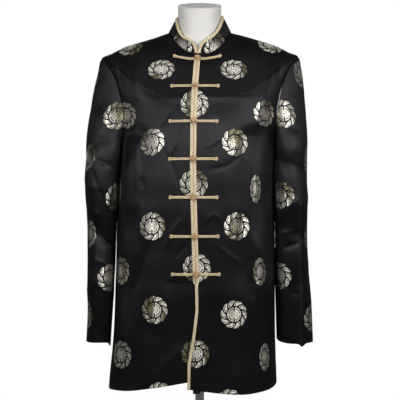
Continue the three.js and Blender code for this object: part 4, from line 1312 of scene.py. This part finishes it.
for number, z in enumerate(FROG_HEIGHTS):
    x = float(closing_at(z, "left"))
    rise = FIRST_FROG_RISE if number == 0 else 0
    hub, n = (v[0] for v in skin_at("front_left", np.array([x + SKIN_FROM]), np.array([z])))
    hub[0] = x
    hub = hub + n * (BINDING_THICK + SEAM_GAP + 0.3)
    side_way = unit(np.cross(n, [0, 0, 1.0]))
    up_way = np.cross(side_way, n)
    ways = np.stack([side_way, up_way, n])

    angle = round_angles(40)
    above = np.full(40, 1.6 + LOOP_CORD / 2)
    ring = [LOOP_RADIUS * np.cos(angle), LOOP_RADIUS * np.sin(angle), above]
    ring = hub + np.stack(ring, 1) @ ways
    loop_arm = arm_path("front_right", -1, x, z, rise, LOOP_RADIUS)
    loop = (*cord_part(ring, LOOP_CORD / 2, closed=True, up=n), 1)
    add_frog(f"frog_loop_{number + 1}", loop_arm, [loop], [CORD, CORD_KNOT_SHADED])

    t = round_angles(220)
    lat, lon = np.radians(62) * np.sin(5 * t), 3 * t
    radius = BALL_RADIUS - 1.25 + 0.35 * np.sin(15 * t)
    braid = [np.cos(lat) * np.cos(lon), np.cos(lat) * np.sin(lon), np.sin(lat)]
    centre = hub + n * (BALL_RADIUS + 0.1)
    braid = centre + (np.stack(braid, 1) * radius[:, None]) @ ways
    knot_up = n + side_way * 0.37 + up_way * 0.21
    knot = (*cord_part(braid, KNOT_CORD, 6, closed=True, up=knot_up), 1)
    knot_arm = arm_path("front_left", 1, x, z, rise, 2.0)
    # The core ball inside the braid is painted shade: its near-black cord shows between the strands
    # as shadow.
    core = (*ball_part(4, centre), 2)
    add_frog(f"frog_knot_{number + 1}", knot_arm, [knot, core], [CORD, CORD_KNOT_SHADED, CORD_PAINTED_SHADE])

# ---- Dress form and stand ----
FORM_TURNS = 120
form_turn = np.arange(FORM_TURNS) / FORM_TURNS * 2 * np.pi


def form_ring(level):
    levels = np.full(FORM_TURNS, float(level))
    along = smooth_point(form_turn + STEP, levels) - smooth_point(form_turn - STEP, levels)
    up = smooth_point(form_turn, levels + STEP) - smooth_point(form_turn, levels - STEP)
    inset = row_at(FORM_INSET, "level", level)
    facing = np.cos(form_turn)
    end = np.where(facing > 0, inset["front"], inset["back"])
    deep = inset["side"] + (end - inset["side"]) * facing**2
    return smooth_point(form_turn, levels) - unit(np.cross(along, up)) * deep[:, None]


def neck_ring(height, tilt, radius):
    x, back = STAND_X + radius * np.sin(form_turn), -radius * np.cos(form_turn)
    return np.stack([x, NECK_SET + back, height + back * tilt], axis=1)


def between(a, b, steps):
    """Rings from just past a to b."""
    return [a * (1 - k / steps) + b * (k / steps) for k in range(1, steps + 1)]


def disc_profile(radius, low, high, round_by):
    return rounded([(0.1, low), (radius, low), (radius, high), (0.1, high)], round_by)


def add_turned(name, profile, sides, centre, material, tilt=0.0):
    make_object(name, [lathe_part(profile, sides, centre, tilt)], [material])


bottom = form_ring(0.5)
bottom[:, 2] = TORSO_BOTTOM
torso = [form_ring(level) for level in np.linspace(1, NECK, 64)]
rings = [bottom, *between(bottom, torso[0], 5), *torso[1:]]
neck_top = CAP_TOP - CAP_THICK - SEAM_GAP
for height, tilt, wider, steps in (
    (954, 0.6, 4, 5),
    (968, 0.5, 0, 5),
    (neck_top, math.tan(CAP_TILT), 0, 12),
):
    rings += between(rings[-1], neck_ring(height, tilt, NECK_RADIUS + wider), steps)
make_object("form_torso", [tube_part(np.array(rings))], [SHELL])

EDGE = 1.2  # the neck cap's chamfer
cap_rim = [(NECK_RADIUS, -CAP_THICK), (NECK_RADIUS, -EDGE), (NECK_RADIUS - EDGE, 0)]
cap_profile = rounded([(0.1, -CAP_THICK), *cap_rim, (0.1, 0)], 0.9)
cap_centre = (STAND_X, NECK_SET, CAP_TOP)
add_turned("form_neck_cap", cap_profile, 96, cap_centre, SHELL, CAP_TILT)
pole = disc_profile(POLE_RADIUS, BASE_THICK + SEAM_GAP, TORSO_BOTTOM - SEAM_GAP, 0.6)
add_turned("form_pole", pole, 48, (STAND_X, 0, 0), STEEL)
add_turned("form_base", disc_profile(BASE_RADIUS, 0, BASE_THICK, 2.2), 128, (0, 0, 0), STEEL)

for name, obj in made.items():
    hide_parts(name)

# ---- Floor, world and light ----
FLOOR_RADIUS, FLOOR_DROP = 0.8, 0.0005
floor_material, tree = start_material("floor")
cloud = noise(tree, object_place(tree), 3, 3)
colour = mix_colour(tree, cloud, (0.80, 0.80, 0.80), (0.84, 0.84, 0.84))
dress(tree, {"Base Color": colour, "Roughness": 0.8})
floor_mesh = bpy.data.meshes.new("floor")
angle = round_angles(128)
rim = [(FLOOR_RADIUS * math.sin(a), -FLOOR_RADIUS * math.cos(a), -FLOOR_DROP) for a in angle]
floor_mesh.from_pydata(rim, [], [list(range(len(rim)))[::-1]])
floor_mesh.materials.append(floor_material)
floor = bpy.data.objects.new("floor", floor_mesh)
scene.collection.objects.link(floor)

# The world lights the jacket dimly, and the camera sees it white.
world = bpy.data.worlds.new("studio")
scene.world = world
world.use_nodes = True
tree = world.node_tree
dim = tree.nodes["Background"]
seen = tree.nodes.new("ShaderNodeBackground")
for background, strength in ((dim, 0.07), (seen, 1.0)):
    background.inputs["Color"].default_value = (1, 1, 1, 1)
    background.inputs["Strength"].default_value = strength
ray = tree.nodes.new("ShaderNodeLightPath").outputs["Is Camera Ray"]
inputs = {0: ray, 1: dim.outputs[0], 2: seen.outputs[0]}
mixer = add_node(tree, "ShaderNodeMixShader", inputs)
tree.links.new(mixer.outputs[0], tree.nodes["World Output"].inputs[0])


def softbox(name, place, aim, size, power, spread=180):
    light = bpy.data.lights.new(name, "AREA")
    light.shape = "RECTANGLE"
    light.size, light.size_y = size
    light.energy = power
    light.spread = math.radians(spread)
    obj = bpy.data.objects.new(name, light)
    obj.location = place
    way = np.array(aim, float) - np.array(place, float)
    obj.rotation_euler = Vector(way).to_track_quat("-Z", "Y").to_euler()
    scene.collection.objects.link(obj)


softbox("front_right", (-1.5, -2.1, 1.38), (0, 0, 0.75), (0.6, 0.7), 2.2, 45)
softbox("front_left", (1.7, -1.95, 1.38), (0, 0, 0.75), (0.6, 0.7), 2.4, 45)
softbox("front", (0.42, -2.75, 1.4), (0, 0, 0.75), (0.4, 0.6), 13)
softbox("top", (0, -0.9, 2.5), (0, 0, 0.6), (1.2, 0.6), 5)
softbox("rear_right", (-0.75, 2.4, 1.3), (0, 0, 0.7), (0.5, 0.9), 12)
softbox("rear_left", (0.75, 2.4, 1.3), (0, 0, 0.7), (0.5, 0.9), 12)

scene.view_settings.view_transform = "Standard"
